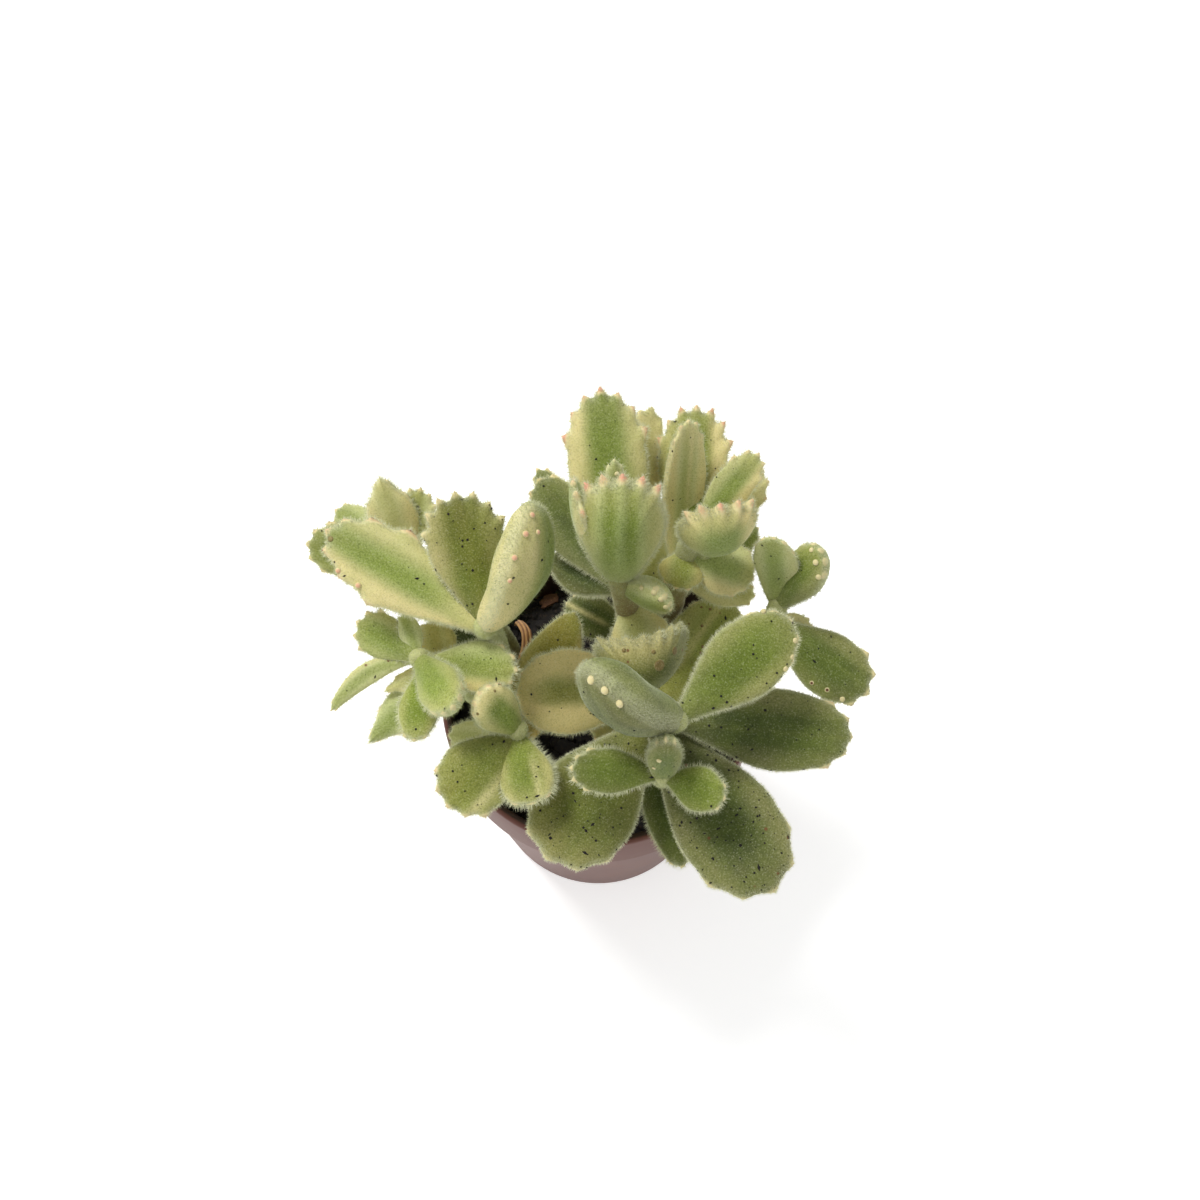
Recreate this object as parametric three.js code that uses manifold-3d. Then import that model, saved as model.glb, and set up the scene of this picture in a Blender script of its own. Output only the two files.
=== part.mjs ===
// Bears paw succulent, Cotyledon tomentosa, growing in its small round nursery pot.
//
// Millimetres, +Z up. The origin is the middle of the pot's underside. +X is the plant's right
// and +Y its back, as it is seen from the front and above.
//
// Nothing on it moves. The pot is turned plastic with a deeper band at the rim and drain holes
// round its floor. The potting soil fills it, with a plain hole for each stem. Every leafy stem
// is one body: the stem, its side shoots, and its thick leaves, whose blunt ends carry the small
// claws that give the plant its name.

import * as THREE from "three";
import { mergeVertices } from "three/addons/utils/BufferGeometryUtils.js";
import Module from "manifold-3d";

const wasm = await Module();
wasm.setup();
const { Manifold, Mesh } = wasm;

// ---------------------------------------------------------------- driving dimensions

const POT_HEIGHT = 62;
const POT_BASE_RADIUS = 24.2;
const POT_RIM_RADIUS = 32.2;
const POT_WALL = 1.9;
const POT_FLOOR = 2.4;
const RIM_BAND_HEIGHT = 14;
const RIM_BAND_STEP = 1.2;
const ROUND_STEPS = 44;

const DRAIN_HOLE_COUNT = 6;
const DRAIN_HOLE_RADIUS = 3;
const DRAIN_HOLE_CIRCLE = 14.5;

const FIT_GAP = 0.4; // left between bodies that touch in the real thing
const SOIL_TOP = 52;
const SOIL_RELIEF = 0.7; // how far the soil's surface rolls up and down
const ROOT_DEPTH = 11; // how far a stem stands in its hole

const STEM_SIDES = 8;
const STEM_STATIONS = 6;
const ROOT_SINK = 1.2; // how deep a leaf's base is sunk past the middle of its stem
const LEAF_INNER_RING = 0.72; // the ring between a leaf's margin and its middle
const UPPER_SHARE = 0.38; // of a leaf's thickness, the part above its margin
const LEAF_MIDDLE = 0.58; // the fullest place along a leaf
const WIDEST_AT = 0.68; // where the blade stops widening

// The side from which the leaves' turns are counted: at turn 0 a leaf shows it its upper face.
const FRONT_AND_ABOVE = new THREE.Vector3(0, -0.41, 0.91).normalize();

// ---------------------------------------------------------------- kinds of leaf

// thick: thickness over width        bow: how far the middle sags, over length
// cup: how far the sides rise, over half the width
// teeth, spread, tooth: number of claws, degrees between them round the end, length of one
// blunt: 2 is a pointed end, 6 a square one       neck: width at the stem, over full width
// swing: sideways bend, over length      sharp: 1 where the sides run straight to a pointed tip
const KINDS = {
  paw: {
    thick: 0.36, bow: 0.04, cup: 0.1, teeth: 5, spread: 24, tooth: 0.9, blunt: 5, neck: 0.2, swing: 0,
  },
  broad: {
    thick: 0.36, bow: 0.04, cup: 0.1, teeth: 5, spread: 26, tooth: 1, blunt: 6.5, neck: 0.26, swing: 0,
  },
  paddle: {
    thick: 0.36, bow: 0.04, cup: 0.1, teeth: 5, spread: 20, tooth: 0.9, blunt: 5.5, neck: 0.12, swing: 0,
  },
  oar: {
    thick: 0.36, bow: 0.04, cup: 0.1, teeth: 5, spread: 24, tooth: 0.4, blunt: 4.5, neck: 0.2, swing: 0,
  },
  long: {
    thick: 0.38, bow: 0.04, cup: 0.1, teeth: 7, spread: 25, tooth: 1.2, blunt: 4.5, neck: 0.3, swing: 0,
  },
  fan: {
    thick: 0.34, bow: 0.05, cup: 0.1, teeth: 7, spread: 19, tooth: 1.6, blunt: 6, neck: 0.24, swing: 0,
  },
  cup: {
    thick: 0.4, bow: 0.1, cup: 0.26, teeth: 5, spread: 19, tooth: 1.5, blunt: 6, neck: 0.4, swing: 0,
  },
  plump: {
    thick: 0.7, bow: 0.03, cup: 0.02, teeth: 5, spread: 24, tooth: 0.3, blunt: 4.5, neck: 0.36, swing: 0,
  },
  arched: {
    thick: 0.7, bow: -0.12, cup: 0.02, teeth: 5, spread: 24, tooth: 0.3, blunt: 4.5, neck: 0.36, swing: 0,
  },
  spoon: {
    thick: 0.45, bow: 0.04, cup: 0.05, teeth: 3, spread: 26, tooth: 0.5, blunt: 4.5, neck: 0.18, swing: 0,
  },
  fold: {
    thick: 0.5, bow: 0.06, cup: 0.4, teeth: 5, spread: 20, tooth: 0.8, blunt: 4, neck: 0.6, swing: 0,
  },
  bowl: {
    thick: 0.4, bow: 0.1, cup: 0.6, teeth: 7, spread: 15, tooth: 0.9, blunt: 6, neck: 0.4, swing: 0,
  },
  slab: {
    thick: 0.34, bow: 0.04, cup: 0.06, teeth: 5, spread: 24, tooth: 0.3, blunt: 5, neck: 0.55, swing: 0,
  },
  wedge: {
    thick: 0.45, bow: 0.04, cup: 0.05, teeth: 3, spread: 26, tooth: 0.3, blunt: 9, neck: 0.25, swing: 0,
  },
  point: {
    thick: 0.46, bow: 0.04, cup: 0.1, teeth: 5, spread: 32, tooth: 0.4, blunt: 1.9, neck: 0.36, swing: 0,
    sharp: 0.9,
  },
  petal: {
    thick: 0.38, bow: 0.04, cup: 0.06, teeth: 3, spread: 26, tooth: 0.2, blunt: 2.6, neck: 0.4, swing: 0,
    sharp: 0.65,
  },
  sickle: {
    thick: 0.5, bow: 0.05, cup: 0.1, teeth: 3, spread: 24, tooth: 0.5, blunt: 2.8, neck: 0.3, swing: 0.14,
  },
  bud: {
    thick: 0.85, bow: 0.02, cup: 0, teeth: 3, spread: 28, tooth: 0.5, blunt: 3.5, neck: 0.6, swing: 0,
  },
};

// ---------------------------------------------------------------- the leafy stems

// A shoot runs from its foot, through a bend, to its top: foot, bend and top steer a quadratic
// curve. A stem's foot is on the soil. radii: at the foot and at the top.
// A leaf: [place along the shoot, tip, width, turn in degrees, kind].
const LEAFY_STEMS = {
  front_stem: [
    {
      foot: [8, -9, 52], bend: [8, -11, 82], top: [14, -20, 101], radii: [2.8, 2.2],
      leaves: [
        [1.0, [-2.5, -14.5, 113], 15, -80, "arched"],
        [1.0, [35, -2.5, 106], 14, 0, "oar"],
        [0.7, [47.5, -18.5, 88], 15.5, 0, "paddle"],
        [0.62, [32.5, -45.5, 80], 19.5, 0, "broad"],
        [0.55, [-9.5, -39, 78], 20, 0, "broad"],
        [0.3, [16.5, -37.5, 66], 8.5, 0, "spoon"],
        [0.45, [27, 15, 75.5], 14.5, 0, "oar"],
      ],
    },
    {
      foot: [10, -13, 77], bend: [12, -26, 78], top: [12, -27, 91], radii: [1.9, 1.6],
      leaves: [
        [1.0, [-5, -26.5, 94], 8.5, 0, "paw"],
        [1.0, [23, -32, 93], 8.5, 0, "spoon"],
        [0.95, [12, -25, 105], 6.5, 0, "bud"],
      ],
    },
  ],
  right_stem: [
    {
      foot: [22, -3, 52], bend: [29, -4, 73], top: [35, 9, 87], radii: [2.6, 1.9],
      leaves: [
        [1.0, [32.5, 14.5, 105], 9, -30, "slab"],
        [1.0, [41.5, 13, 103], 9, -35, "plump"],
        [0.9, [52, -7.5, 82], 12.5, 0, "broad"],
        [0.85, [42, 6.5, 82], 6, 0, "spoon"],
      ],
    },
  ],
  left_stem: [
    {
      foot: [-20, 4.5, 52], bend: [-20, 6, 80], top: [-21, 0, 97], radii: [2.8, 2.2],
      leaves: [
        [1.0, [-50.5, 16.5, 104], 14, 0, "long"],
        [1.0, [-26, 19.5, 113], 14.5, 0, "fan"],
        [1.0, [-11.5, 15, 118], 13.5, 65, "arched"],
        [0.6, [-31, 6, 78], 8, 0, "spoon"],
        [0.75, [-35, 16, 87], 9, 0, "spoon"],
      ],
    },
  ],
  crown_stem: [
    {
      foot: [7.5, 6, 52], bend: [7.5, 7, 78], top: [4, 11, 96], radii: [2.8, 2.3],
      leaves: [
        [1.0, [4.5, 20.5, 118], 16.5, 180, "cup"],
        [1.0, [0.5, 42, 112], 15, 0, "fan"],
        [1.0, [3, 25, 116], 5.5, 0, "bud"],
        [1.0, [-4.5, 21.5, 114], 11, 80, "paw"],
        [0.95, [10.5, 43.5, 103], 10.5, 30, "paw"],
        [0.85, [-9, 19, 88], 9.5, 0, "spoon"],
        [0.85, [-11.5, 30, 99], 11.5, 0, "paw"],
        [0.8, [-12, 35, 94], 7, 0, "paw"],
        [0.75, [10, -0.5, 82], 12, 0, "paw"],
        [0.9, [13.5, 4, 98], 8, 60, "plump"],
        [0.45, [-6.5, 15.5, 73], 8.5, 0, "spoon"],
        [0.5, [13, 31, 82], 11, 0, "spoon"],
      ],
    },
  ],
  back_right_stem: [
    {
      foot: [13, 12, 52], bend: [14, 13, 76], top: [18, 19, 96], radii: [2.8, 2.2],
      leaves: [
        [0.8, [17, 35.5, 112], 9, 30, "fold"],
        [1.0, [30, 29.5, 110], 7.5, 0, "paw"],
        [0.93, [19, 42.5, 105], 13.3, 0, "fan"],
        [0.9, [31.5, 30.5, 102], 9.5, 0, "paw"],
        [0.9, [30, 13, 90], 11, 0, "oar"],
        [0.9, [15, 11, 90], 9, 0, "spoon"],
        [0.75, [32, 27, 84], 8, 0, "spoon"],
        [0.7, [31, 13, 82], 7, 0, "spoon"],
        [0.5, [22, 33, 77], 10, 0, "spoon"],
      ],
    },
    {
      foot: [16.5, 18, 87], bend: [20, 18.5, 90], top: [22, 17.5, 96], radii: [1.9, 1.7],
      leaves: [
        [1.0, [22.5, 18.5, 110.5], 15.5, 196, "cup"],
      ],
    },
  ],
  back_left_stem: [
    {
      foot: [-18, 11, 52], bend: [-20, 13, 74], top: [-38, 20, 86], radii: [2.5, 1.9],
      leaves: [
        [1.0, [-42, 30, 100], 10, 0, "point"],
        [1.0, [-34.5, 30, 95], 8, 0, "paw"],
        [1.0, [-52, 29, 88], 8, 0, "spoon"],
        [0.95, [-57.5, 22.5, 86], 11, 0, "paw"],
        [0.6, [-36, 26, 74], 8, 0, "spoon"],
      ],
    },
  ],
  side_left_stem: [
    {
      foot: [-21, -3, 52], bend: [-23, -3, 74], top: [-34, -3, 89], radii: [2.5, 1.9],
      leaves: [
        [1.0, [-46, 4, 90], 8.5, 0, "broad"],
        [0.95, [-50.5, -12.5, 86], 4.3, 0, "sickle"],
        [1.0, [-26, -17.5, 101], 9, 0, "plump"],
        [0.95, [-34, -20, 90], 7.8, 0, "spoon"],
        [0.8, [-44, -17, 80], 8, 0, "point"],
        [0.8, [-32.5, 7, 84], 8, 0, "spoon"],
        [0.95, [-15, -7.5, 94], 10, 0, "paw"],
        [0.85, [-41, -8, 84], 4, 0, "point"],
        [1.0, [-37, 5, 92], 4.5, 0, "spoon"],
      ],
    },
  ],
  lower_left_stem: [
    {
      foot: [-16, -14, 52], bend: [-18.5, -16, 74], top: [-15, -17, 88], radii: [2.6, 2.0],
      leaves: [
        [1.0, [-21.5, -13.5, 98], 9, 15, "plump"],
        [0.95, [-27.5, -32, 88], 14, 0, "paw"],
        [0.95, [-12, -31.5, 88], 10.5, 0, "wedge"],
        [0.7, [-29, -14, 76], 7, 0, "spoon"],
        [0.55, [-4.5, 10, 81], 12, 0, "petal"],
      ],
    },
  ],
  centre_stem: [
    {
      foot: [4, -2.5, 52], bend: [6, -5, 70], top: [9, -6, 86], radii: [2.8, 2.2],
      leaves: [
        [1.0, [8.5, -2.5, 98], 18, 190, "bowl"],
        [0.8, [-15.5, -8.5, 84], 16.5, 0, "slab"],
        [0.6, [17, -5, 68], 7.5, 0, "spoon"],
        [0.55, [-0.5, -14, 74], 7, 0, "spoon"],
      ],
    },
  ],
};

// A dried leaf, curled over like a hook, with its stalk in the soil beside the left stem.
const DRY_LEAF = {
  centreline: [
    [-14, 3, 45], [-14.2, 2.6, 54], [-15, 2.4, 62], [-15.4, 3.4, 68], [-14.3, 5.6, 72.5], [-14.4, 8.6, 74.5],
    [-15.8, 11.4, 72.5], [-16.6, 12.5, 68.5],
  ],
  halfWidth: 1.2,
  halfThickness: 0.6,
  sides: 8,
  stations: 12,
};

// ---------------------------------------------------------------- solids

// A closed three.js geometry as a solid that can be joined and cut.
function solid(geometry) {
  const bare = geometry.clone();
  bare.deleteAttribute("normal");
  bare.deleteAttribute("uv");
  const welded = mergeVertices(bare, 1e-4);
  const corners = welded.index.array;
  const kept = [];
  for (let i = 0; i < corners.length; i += 3) {
    const [a, b, c] = [corners[i], corners[i + 1], corners[i + 2]];
    if (a !== b && b !== c && c !== a) kept.push(a, b, c);
  }
  return new Manifold(new Mesh({
    numProp: 3,
    vertProperties: new Float32Array(welded.attributes.position.array),
    triVerts: new Uint32Array(kept),
  }));
}

// A solid back as a mesh of its own, with a plain material and a name.
function node(name, shape, color, roughness) {
  const mesh = shape.getMesh();
  const geometry = new THREE.BufferGeometry();
  geometry.setAttribute("position", new THREE.BufferAttribute(new Float32Array(mesh.vertProperties), 3));
  geometry.setIndex(new THREE.BufferAttribute(new Uint32Array(mesh.triVerts), 1));
  geometry.computeVertexNormals();
  const made = new THREE.Mesh(geometry, new THREE.MeshStandardMaterial({ color, roughness, metalness: 0 }));
  made.name = name;
  return made;
}

function geometryFrom(points, corners) {
  const geometry = new THREE.BufferGeometry();
  const numbers = points.flatMap((p) => [p.x, p.y, p.z]);
  geometry.setAttribute("position", new THREE.Float32BufferAttribute(numbers, 3));
  geometry.setIndex(corners);
  return geometry;
}

// Rings of points, joined one to the next and closed at both ends by fans.
function loft(rings, firstMiddle, lastMiddle) {
  const count = rings[0].length;
  const points = [...rings.flat(), firstMiddle, lastMiddle];
  const first = points.length - 2;
  const last = points.length - 1;
  const end = (rings.length - 1) * count;
  const corners = [];
  for (let k = 0; k < count; k += 1) {
    const next = (k + 1) % count;
    for (let r = 0; r < rings.length - 1; r += 1) {
      const low = r * count;
      const high = low + count;
      corners.push(low + k, low + next, high + next, low + k, high + next, high + k);
    }
    corners.push(first, next, k, last, end + k, end + next);
  }
  return solid(geometryFrom(points, corners));
}

// An outline of [radius, height] points from the Z axis back to it, turned round it.
function turned(outline) {
  const profile = outline.map(([radius, height]) => new THREE.Vector2(radius, height));
  const lathe = new THREE.LatheGeometry(profile, ROUND_STEPS);
  lathe.rotateX(Math.PI / 2);
  return solid(lathe);
}

// A rod with an oval section that follows a curve; crown is how far its far end is domed.
function rod(curve, stations, sides, halfWidth, halfThickness, crown = 0) {
  const across = new THREE.Vector3(1, 0, 0);
  const rings = [];
  for (let i = 0; i <= stations; i += 1) {
    const t = i / stations;
    const middle = curve.getPoint(t);
    const ahead = curve.getTangent(t);
    const side = across.clone().addScaledVector(ahead, -across.dot(ahead)).normalize();
    const up = ahead.clone().cross(side);
    rings.push(Array.from({ length: sides }, (_, k) => {
      const angle = (2 * Math.PI * k) / sides;
      return middle.clone()
        .addScaledVector(side, halfWidth(t) * Math.cos(angle))
        .addScaledVector(up, halfThickness(t) * Math.sin(angle));
    }));
  }
  return loft(rings, curve.getPoint(0), curve.getPoint(1).addScaledVector(curve.getTangent(1), crown));
}

// ---------------------------------------------------------------- pot and soil

// Radius of the pot's outside, under the rim band, at a height.
function wallRadius(height) {
  const underBand = POT_RIM_RADIUS - RIM_BAND_STEP - 0.2;
  return THREE.MathUtils.lerp(POT_BASE_RADIUS, underBand, height / (POT_HEIGHT - RIM_BAND_HEIGHT));
}

function pot() {
  const bandFoot = POT_HEIGHT - RIM_BAND_HEIGHT;
  const shell = turned([
    [0, 0],
    [POT_BASE_RADIUS - 0.8, 0],
    [POT_BASE_RADIUS, 0.8],
    [wallRadius(bandFoot), bandFoot],
    [wallRadius(bandFoot) + RIM_BAND_STEP, bandFoot + 0.6],
    [POT_RIM_RADIUS, POT_HEIGHT - 0.7],
    [POT_RIM_RADIUS - 0.6, POT_HEIGHT],
    [POT_RIM_RADIUS - 1.5, POT_HEIGHT],
    [POT_RIM_RADIUS - 2, POT_HEIGHT - 0.6],
    [wallRadius(bandFoot) - POT_WALL + 0.8, bandFoot],
    [wallRadius(POT_FLOOR) - POT_WALL, POT_FLOOR + 1],
    [wallRadius(POT_FLOOR) - POT_WALL - 1, POT_FLOOR],
    [0, POT_FLOOR],
  ]);
  const drains = Array.from({ length: DRAIN_HOLE_COUNT }, (_, k) => {
    const angle = (2 * Math.PI * k) / DRAIN_HOLE_COUNT;
    const drill = new THREE.CylinderGeometry(DRAIN_HOLE_RADIUS, DRAIN_HOLE_RADIUS, 4 * POT_FLOOR, 16);
    drill.rotateX(Math.PI / 2);
    drill.translate(DRAIN_HOLE_CIRCLE * Math.cos(angle), DRAIN_HOLE_CIRCLE * Math.sin(angle), 0);
    return solid(drill);
  });
  return shell.subtract(Manifold.union(drains));
}

// Height of the soil's rolling surface.
function soilHeight(x, y) {
  return SOIL_TOP + SOIL_RELIEF * Math.sin(0.35 * x + 1.1) * Math.cos(0.31 * y - 0.4);
}

function soil(holes) {
  const bandFoot = POT_HEIGHT - RIM_BAND_HEIGHT;
  const edge = wallRadius(SOIL_TOP) - POT_WALL - FIT_GAP - 0.1;
  const level = (radius, height) => Array.from({ length: ROUND_STEPS }, (_, k) => {
    const angle = (2 * Math.PI * k) / ROUND_STEPS;
    const [x, y] = [radius * Math.cos(angle), radius * Math.sin(angle)];
    return new THREE.Vector3(x, y, height ?? soilHeight(x, y));
  });
  const floor = POT_FLOOR + FIT_GAP;
  const rings = [
    level(wallRadius(POT_FLOOR) - POT_WALL - 1.6, floor),
    level(wallRadius(POT_FLOOR) - POT_WALL - 0.4, floor + 1.2),
    level(wallRadius(bandFoot) - POT_WALL - FIT_GAP, bandFoot),
    level(edge),
    level(edge * 0.62),
    level(edge * 0.28),
  ];
  const ground = loft(rings, new THREE.Vector3(0, 0, floor), new THREE.Vector3(0, 0, soilHeight(0, 0)));
  return ground.subtract(Manifold.union(holes));
}

// ---------------------------------------------------------------- stems and leaves

function smoothstep(from, to, x) {
  const t = THREE.MathUtils.clamp((x - from) / (to - from), 0, 1);
  return t * t * (3 - 2 * t);
}

const vector = ([x, y, z]) => new THREE.Vector3(x, y, z);

function shootCurve({ foot, bend, top }) {
  return new THREE.QuadraticBezierCurve3(vector(foot), vector(bend), vector(top));
}

// Angles round a leaf's margin, 0 at the tip: three to each claw, and a few down the sides.
function marginAngles({ teeth, spread }) {
  const claws = Array.from({ length: teeth }, (_, k) => (k - (teeth - 1) / 2) * spread)
    .flatMap((angle) => [angle - 0.3 * spread, angle, angle + 0.3 * spread]);
  const last = claws[claws.length - 1];
  const sides = [0.25, 0.5, 0.75].map((share) => THREE.MathUtils.lerp(last, 180, share));
  return [...sides.map((angle) => -angle).reverse(), ...claws, ...sides, 180];
}

// Half the width of a leaf at a share of its length, for a full width of 2.
function halfWidth(share, { blunt, neck, sharp = 0.5 }) {
  const widening = neck + (1 - neck) * smoothstep(0, WIDEST_AT, share);
  return widening * Math.max(0, 1 - share ** blunt) ** sharp * Math.sqrt(1 - (1 - share) ** 12);
}

// A leaf from its seat on the stem to its tip. Its margin is an outline about the leaf's fullest place, the
// two faces are half ellipses over it, and the claws are pushed out of the margin.
function leaf(seat, tip, width, turn, kindName) {
  const kind = KINDS[kindName];
  const along = tip.clone().sub(seat).normalize();
  const base = seat.clone().addScaledVector(along, -ROOT_SINK);
  const length = base.distanceTo(tip);
  const faceOn = FRONT_AND_ABOVE.clone().addScaledVector(along, -FRONT_AND_ABOVE.dot(along)).normalize();
  const face = faceOn.clone().applyAxisAngle(along, THREE.MathUtils.degToRad(turn));
  const across = along.clone().cross(face);

  const blade = length - 0.6 * kind.tooth;
  const middle = LEAF_MIDDLE * blade;
  const fullest = Math.max(...Array.from({ length: 51 }, (_, i) => halfWidth(i / 50, kind)));
  const margin = marginAngles(kind).map((degrees) => {
    const share = (1 + Math.cos(THREE.MathUtils.degToRad(degrees))) / 2;
    const out = new THREE.Vector2(
      Math.sign(degrees % 180) * (width / 2) * (halfWidth(share, kind) / fullest),
      share * blade - middle,
    );
    const nearest = Math.round(degrees / kind.spread + (kind.teeth - 1) / 2);
    const claw = (THREE.MathUtils.clamp(nearest, 0, kind.teeth - 1) - (kind.teeth - 1) / 2) * kind.spread;
    return { out, claw: Math.abs(degrees - claw) < 0.01 ? kind.tooth : 0 };
  });

  const place = (x, y, height) => {
    const share = THREE.MathUtils.clamp(y / length, 0, 1);
    const arc = 4 * share * (1 - share);
    const rise = kind.cup * (x / (width / 2)) ** 2 * (width / 2) * Math.min(1, 1.6 * share);
    return base.clone()
      .addScaledVector(across, x + kind.swing * length * arc)
      .addScaledVector(along, y)
      .addScaledVector(face, rise - kind.bow * length * arc + height);
  };
  const ring = (size, height) => margin.map(({ out, claw }) => {
    const reach = out.clone().multiplyScalar(size);
    reach.addScaledVector(out.clone().normalize(), claw * size ** 6);
    return place(reach.x, middle + reach.y, height * Math.sqrt(1 - size * size));
  });

  const above = UPPER_SHARE * kind.thick * width;
  const below = -(1 - UPPER_SHARE) * kind.thick * width;
  return loft(
    [ring(LEAF_INNER_RING, above), ring(1, 0), ring(LEAF_INNER_RING, below)],
    place(0, middle, above),
    place(0, middle, below),
  );
}

// One leafy stem: its shoots with their leaves, joined into one body.
function leafyStem(shoots) {
  const parts = [];
  shoots.forEach((shoot, index) => {
    const curve = shootCurve(shoot);
    const radius = (t) => THREE.MathUtils.lerp(shoot.radii[0], shoot.radii[1], t);
    parts.push(rod(curve, STEM_STATIONS, STEM_SIDES, radius, radius, shoot.radii[1]));
    if (index === 0) parts.push(rootPeg(shoot));
    shoot.leaves.forEach(([at, tip, width, turn, kind]) => {
      parts.push(leaf(curve.getPoint(at), vector(tip), width, turn, kind));
    });
  });
  return Manifold.union(parts);
}

// The straight foot of a stem, down in the soil.
function rootPeg({ foot: [x, y, z], radii: [radius] }) {
  return upright(x, y, z - ROOT_DEPTH, z + 0.4, radius);
}

// The hole that a stem stands in.
function stemHole({ foot: [x, y, z], radii: [radius] }) {
  return upright(x, y, z - ROOT_DEPTH - FIT_GAP, z + 6, radius + FIT_GAP + 0.1);
}

function upright(x, y, bottom, top, radius) {
  const line = new THREE.LineCurve3(new THREE.Vector3(x, y, bottom), new THREE.Vector3(x, y, top));
  return rod(line, 1, STEM_SIDES, () => radius, () => radius);
}

function dryLeaf(extra = 0) {
  const curve = new THREE.CatmullRomCurve3(DRY_LEAF.centreline.map(vector));
  const swell = (t) => 0.45 + 0.55 * Math.sin(Math.PI * Math.min(1, 0.15 + 0.8 * t));
  return rod(
    curve, DRY_LEAF.stations, DRY_LEAF.sides,
    (t) => DRY_LEAF.halfWidth * swell(t) + extra,
    (t) => DRY_LEAF.halfThickness + extra,
  );
}

// ---------------------------------------------------------------- the whole plant

const stemHoles = Object.values(LEAFY_STEMS).map(([mainShoot]) => stemHole(mainShoot));
const dryLeafHole = upright(DRY_LEAF.centreline[0][0], DRY_LEAF.centreline[0][1] - 0.1, 44.5, 58, 1.9);

const plant = new THREE.Group();
plant.name = "bears_paw_succulent";
plant.add(node("pot", pot(), 0xa8705a, 0.5));
plant.add(node("soil", soil([...stemHoles, dryLeafHole]), 0x1d1815, 0.95));
Object.entries(LEAFY_STEMS).forEach(([name, shoots]) => {
  plant.add(node(name, leafyStem(shoots), 0x8fa866, 0.8));
});
plant.add(node("dry_leaf", dryLeaf(), 0x9a6a3a, 0.8));

export default plant;
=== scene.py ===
"""Bears paw succulent (Cotyledon tomentosa) in its nursery pot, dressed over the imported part.

Tables are in millimetres, as in the part, and every mesh is in metres. +Z is up and the front is -Y.
"""

import math

import bpy
import numpy as np
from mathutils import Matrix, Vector


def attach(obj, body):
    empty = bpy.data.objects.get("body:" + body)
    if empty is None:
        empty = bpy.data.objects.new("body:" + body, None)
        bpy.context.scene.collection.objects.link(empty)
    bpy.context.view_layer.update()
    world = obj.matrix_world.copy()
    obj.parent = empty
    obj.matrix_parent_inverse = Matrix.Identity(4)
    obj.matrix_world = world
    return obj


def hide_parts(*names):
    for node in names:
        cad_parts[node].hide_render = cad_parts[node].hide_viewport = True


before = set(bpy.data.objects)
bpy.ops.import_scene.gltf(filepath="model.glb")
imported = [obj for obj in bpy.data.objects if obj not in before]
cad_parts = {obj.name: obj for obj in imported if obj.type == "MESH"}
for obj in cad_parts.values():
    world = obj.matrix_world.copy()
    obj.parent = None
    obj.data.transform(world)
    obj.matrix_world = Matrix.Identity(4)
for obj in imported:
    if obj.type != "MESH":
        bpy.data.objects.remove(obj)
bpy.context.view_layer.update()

MM = 0.001
SEED = 11

# ---------------------------------------------------------------- driving dimensions, as in the part

POT_HEIGHT = 62
POT_BASE_RADIUS = 24.2
POT_RIM_RADIUS = 32.2
POT_WALL = 1.9
POT_FLOOR = 2.4
RIM_BAND_HEIGHT = 14
RIM_BAND_STEP = 1.2
DRAIN_HOLES = 6
DRAIN_HOLE_RADIUS = 3
DRAIN_HOLE_CIRCLE = 14.5
SOIL_TOP = 52
SOIL_RELIEF = 0.7
ROOT_SINK = 1.2
UPPER_SHARE = 0.38
LEAF_MIDDLE = 0.58
WIDEST_AT = 0.68
CLAW_SHARE = 0.38
CLAW_RANGES = ((0.75, 1.15), (0.4, 1.3), (0.0, 1.6))
FRONT_AND_ABOVE = np.array([0, -0.41, 0.91])

# Leaf forms, each as it differs from the usual one. Sizes are shares of the width or length, except the
# claw in mm and the spread between claws in degrees. A high blunt squares the tip, and sharp is the power
# that closes it.
USUAL_KIND = dict(
    thick=0.36, bow=0.04, cup=0.1, teeth=5, spread=24, tooth=0.9, blunt=4.5, neck=0.36, swing=0, sharp=0.5,
)
KINDS = {
    "paw": dict(blunt=5, neck=0.2),
    "broad": dict(spread=26, tooth=1, blunt=6.5, neck=0.26),
    "paddle": dict(spread=20, blunt=5.5, neck=0.12),
    "oar": dict(tooth=0.4, neck=0.2),
    "long": dict(thick=0.38, teeth=7, spread=25, tooth=1.2, neck=0.3),
    "fan": dict(thick=0.34, bow=0.05, teeth=7, spread=19, tooth=1.6, blunt=6, neck=0.24),
    "cup": dict(thick=0.4, bow=0.1, cup=0.26, spread=19, tooth=1.5, blunt=6, neck=0.4),
    "plump": dict(thick=0.7, bow=0.03, cup=0.02, tooth=0.3),
    "arched": dict(thick=0.7, bow=-0.12, cup=0.02, tooth=0.3),
    "spoon": dict(thick=0.45, cup=0.05, teeth=3, spread=26, tooth=0.5, neck=0.18),
    "fold": dict(thick=0.5, bow=0.06, cup=0.4, spread=20, tooth=0.8, blunt=4, neck=0.6),
    "bowl": dict(thick=0.4, bow=0.1, cup=0.6, teeth=7, spread=15, blunt=6, neck=0.4),
    "slab": dict(thick=0.34, cup=0.06, tooth=0.3, blunt=5, neck=0.55),
    "wedge": dict(thick=0.45, cup=0.05, teeth=3, spread=26, tooth=0.3, blunt=9, neck=0.25),
    "point": dict(thick=0.46, spread=32, tooth=0.4, blunt=1.9, sharp=0.9),
    "petal": dict(thick=0.38, cup=0.06, teeth=3, spread=26, tooth=0.2, blunt=2.6, neck=0.4, sharp=0.65),
    "sickle": dict(thick=0.5, bow=0.05, teeth=3, tooth=0.5, blunt=2.8, neck=0.3, swing=0.14),
    "bud": dict(thick=0.85, bow=0.02, cup=0, teeth=3, spread=28, tooth=0.5, blunt=3.5, neck=0.6),
}

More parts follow.
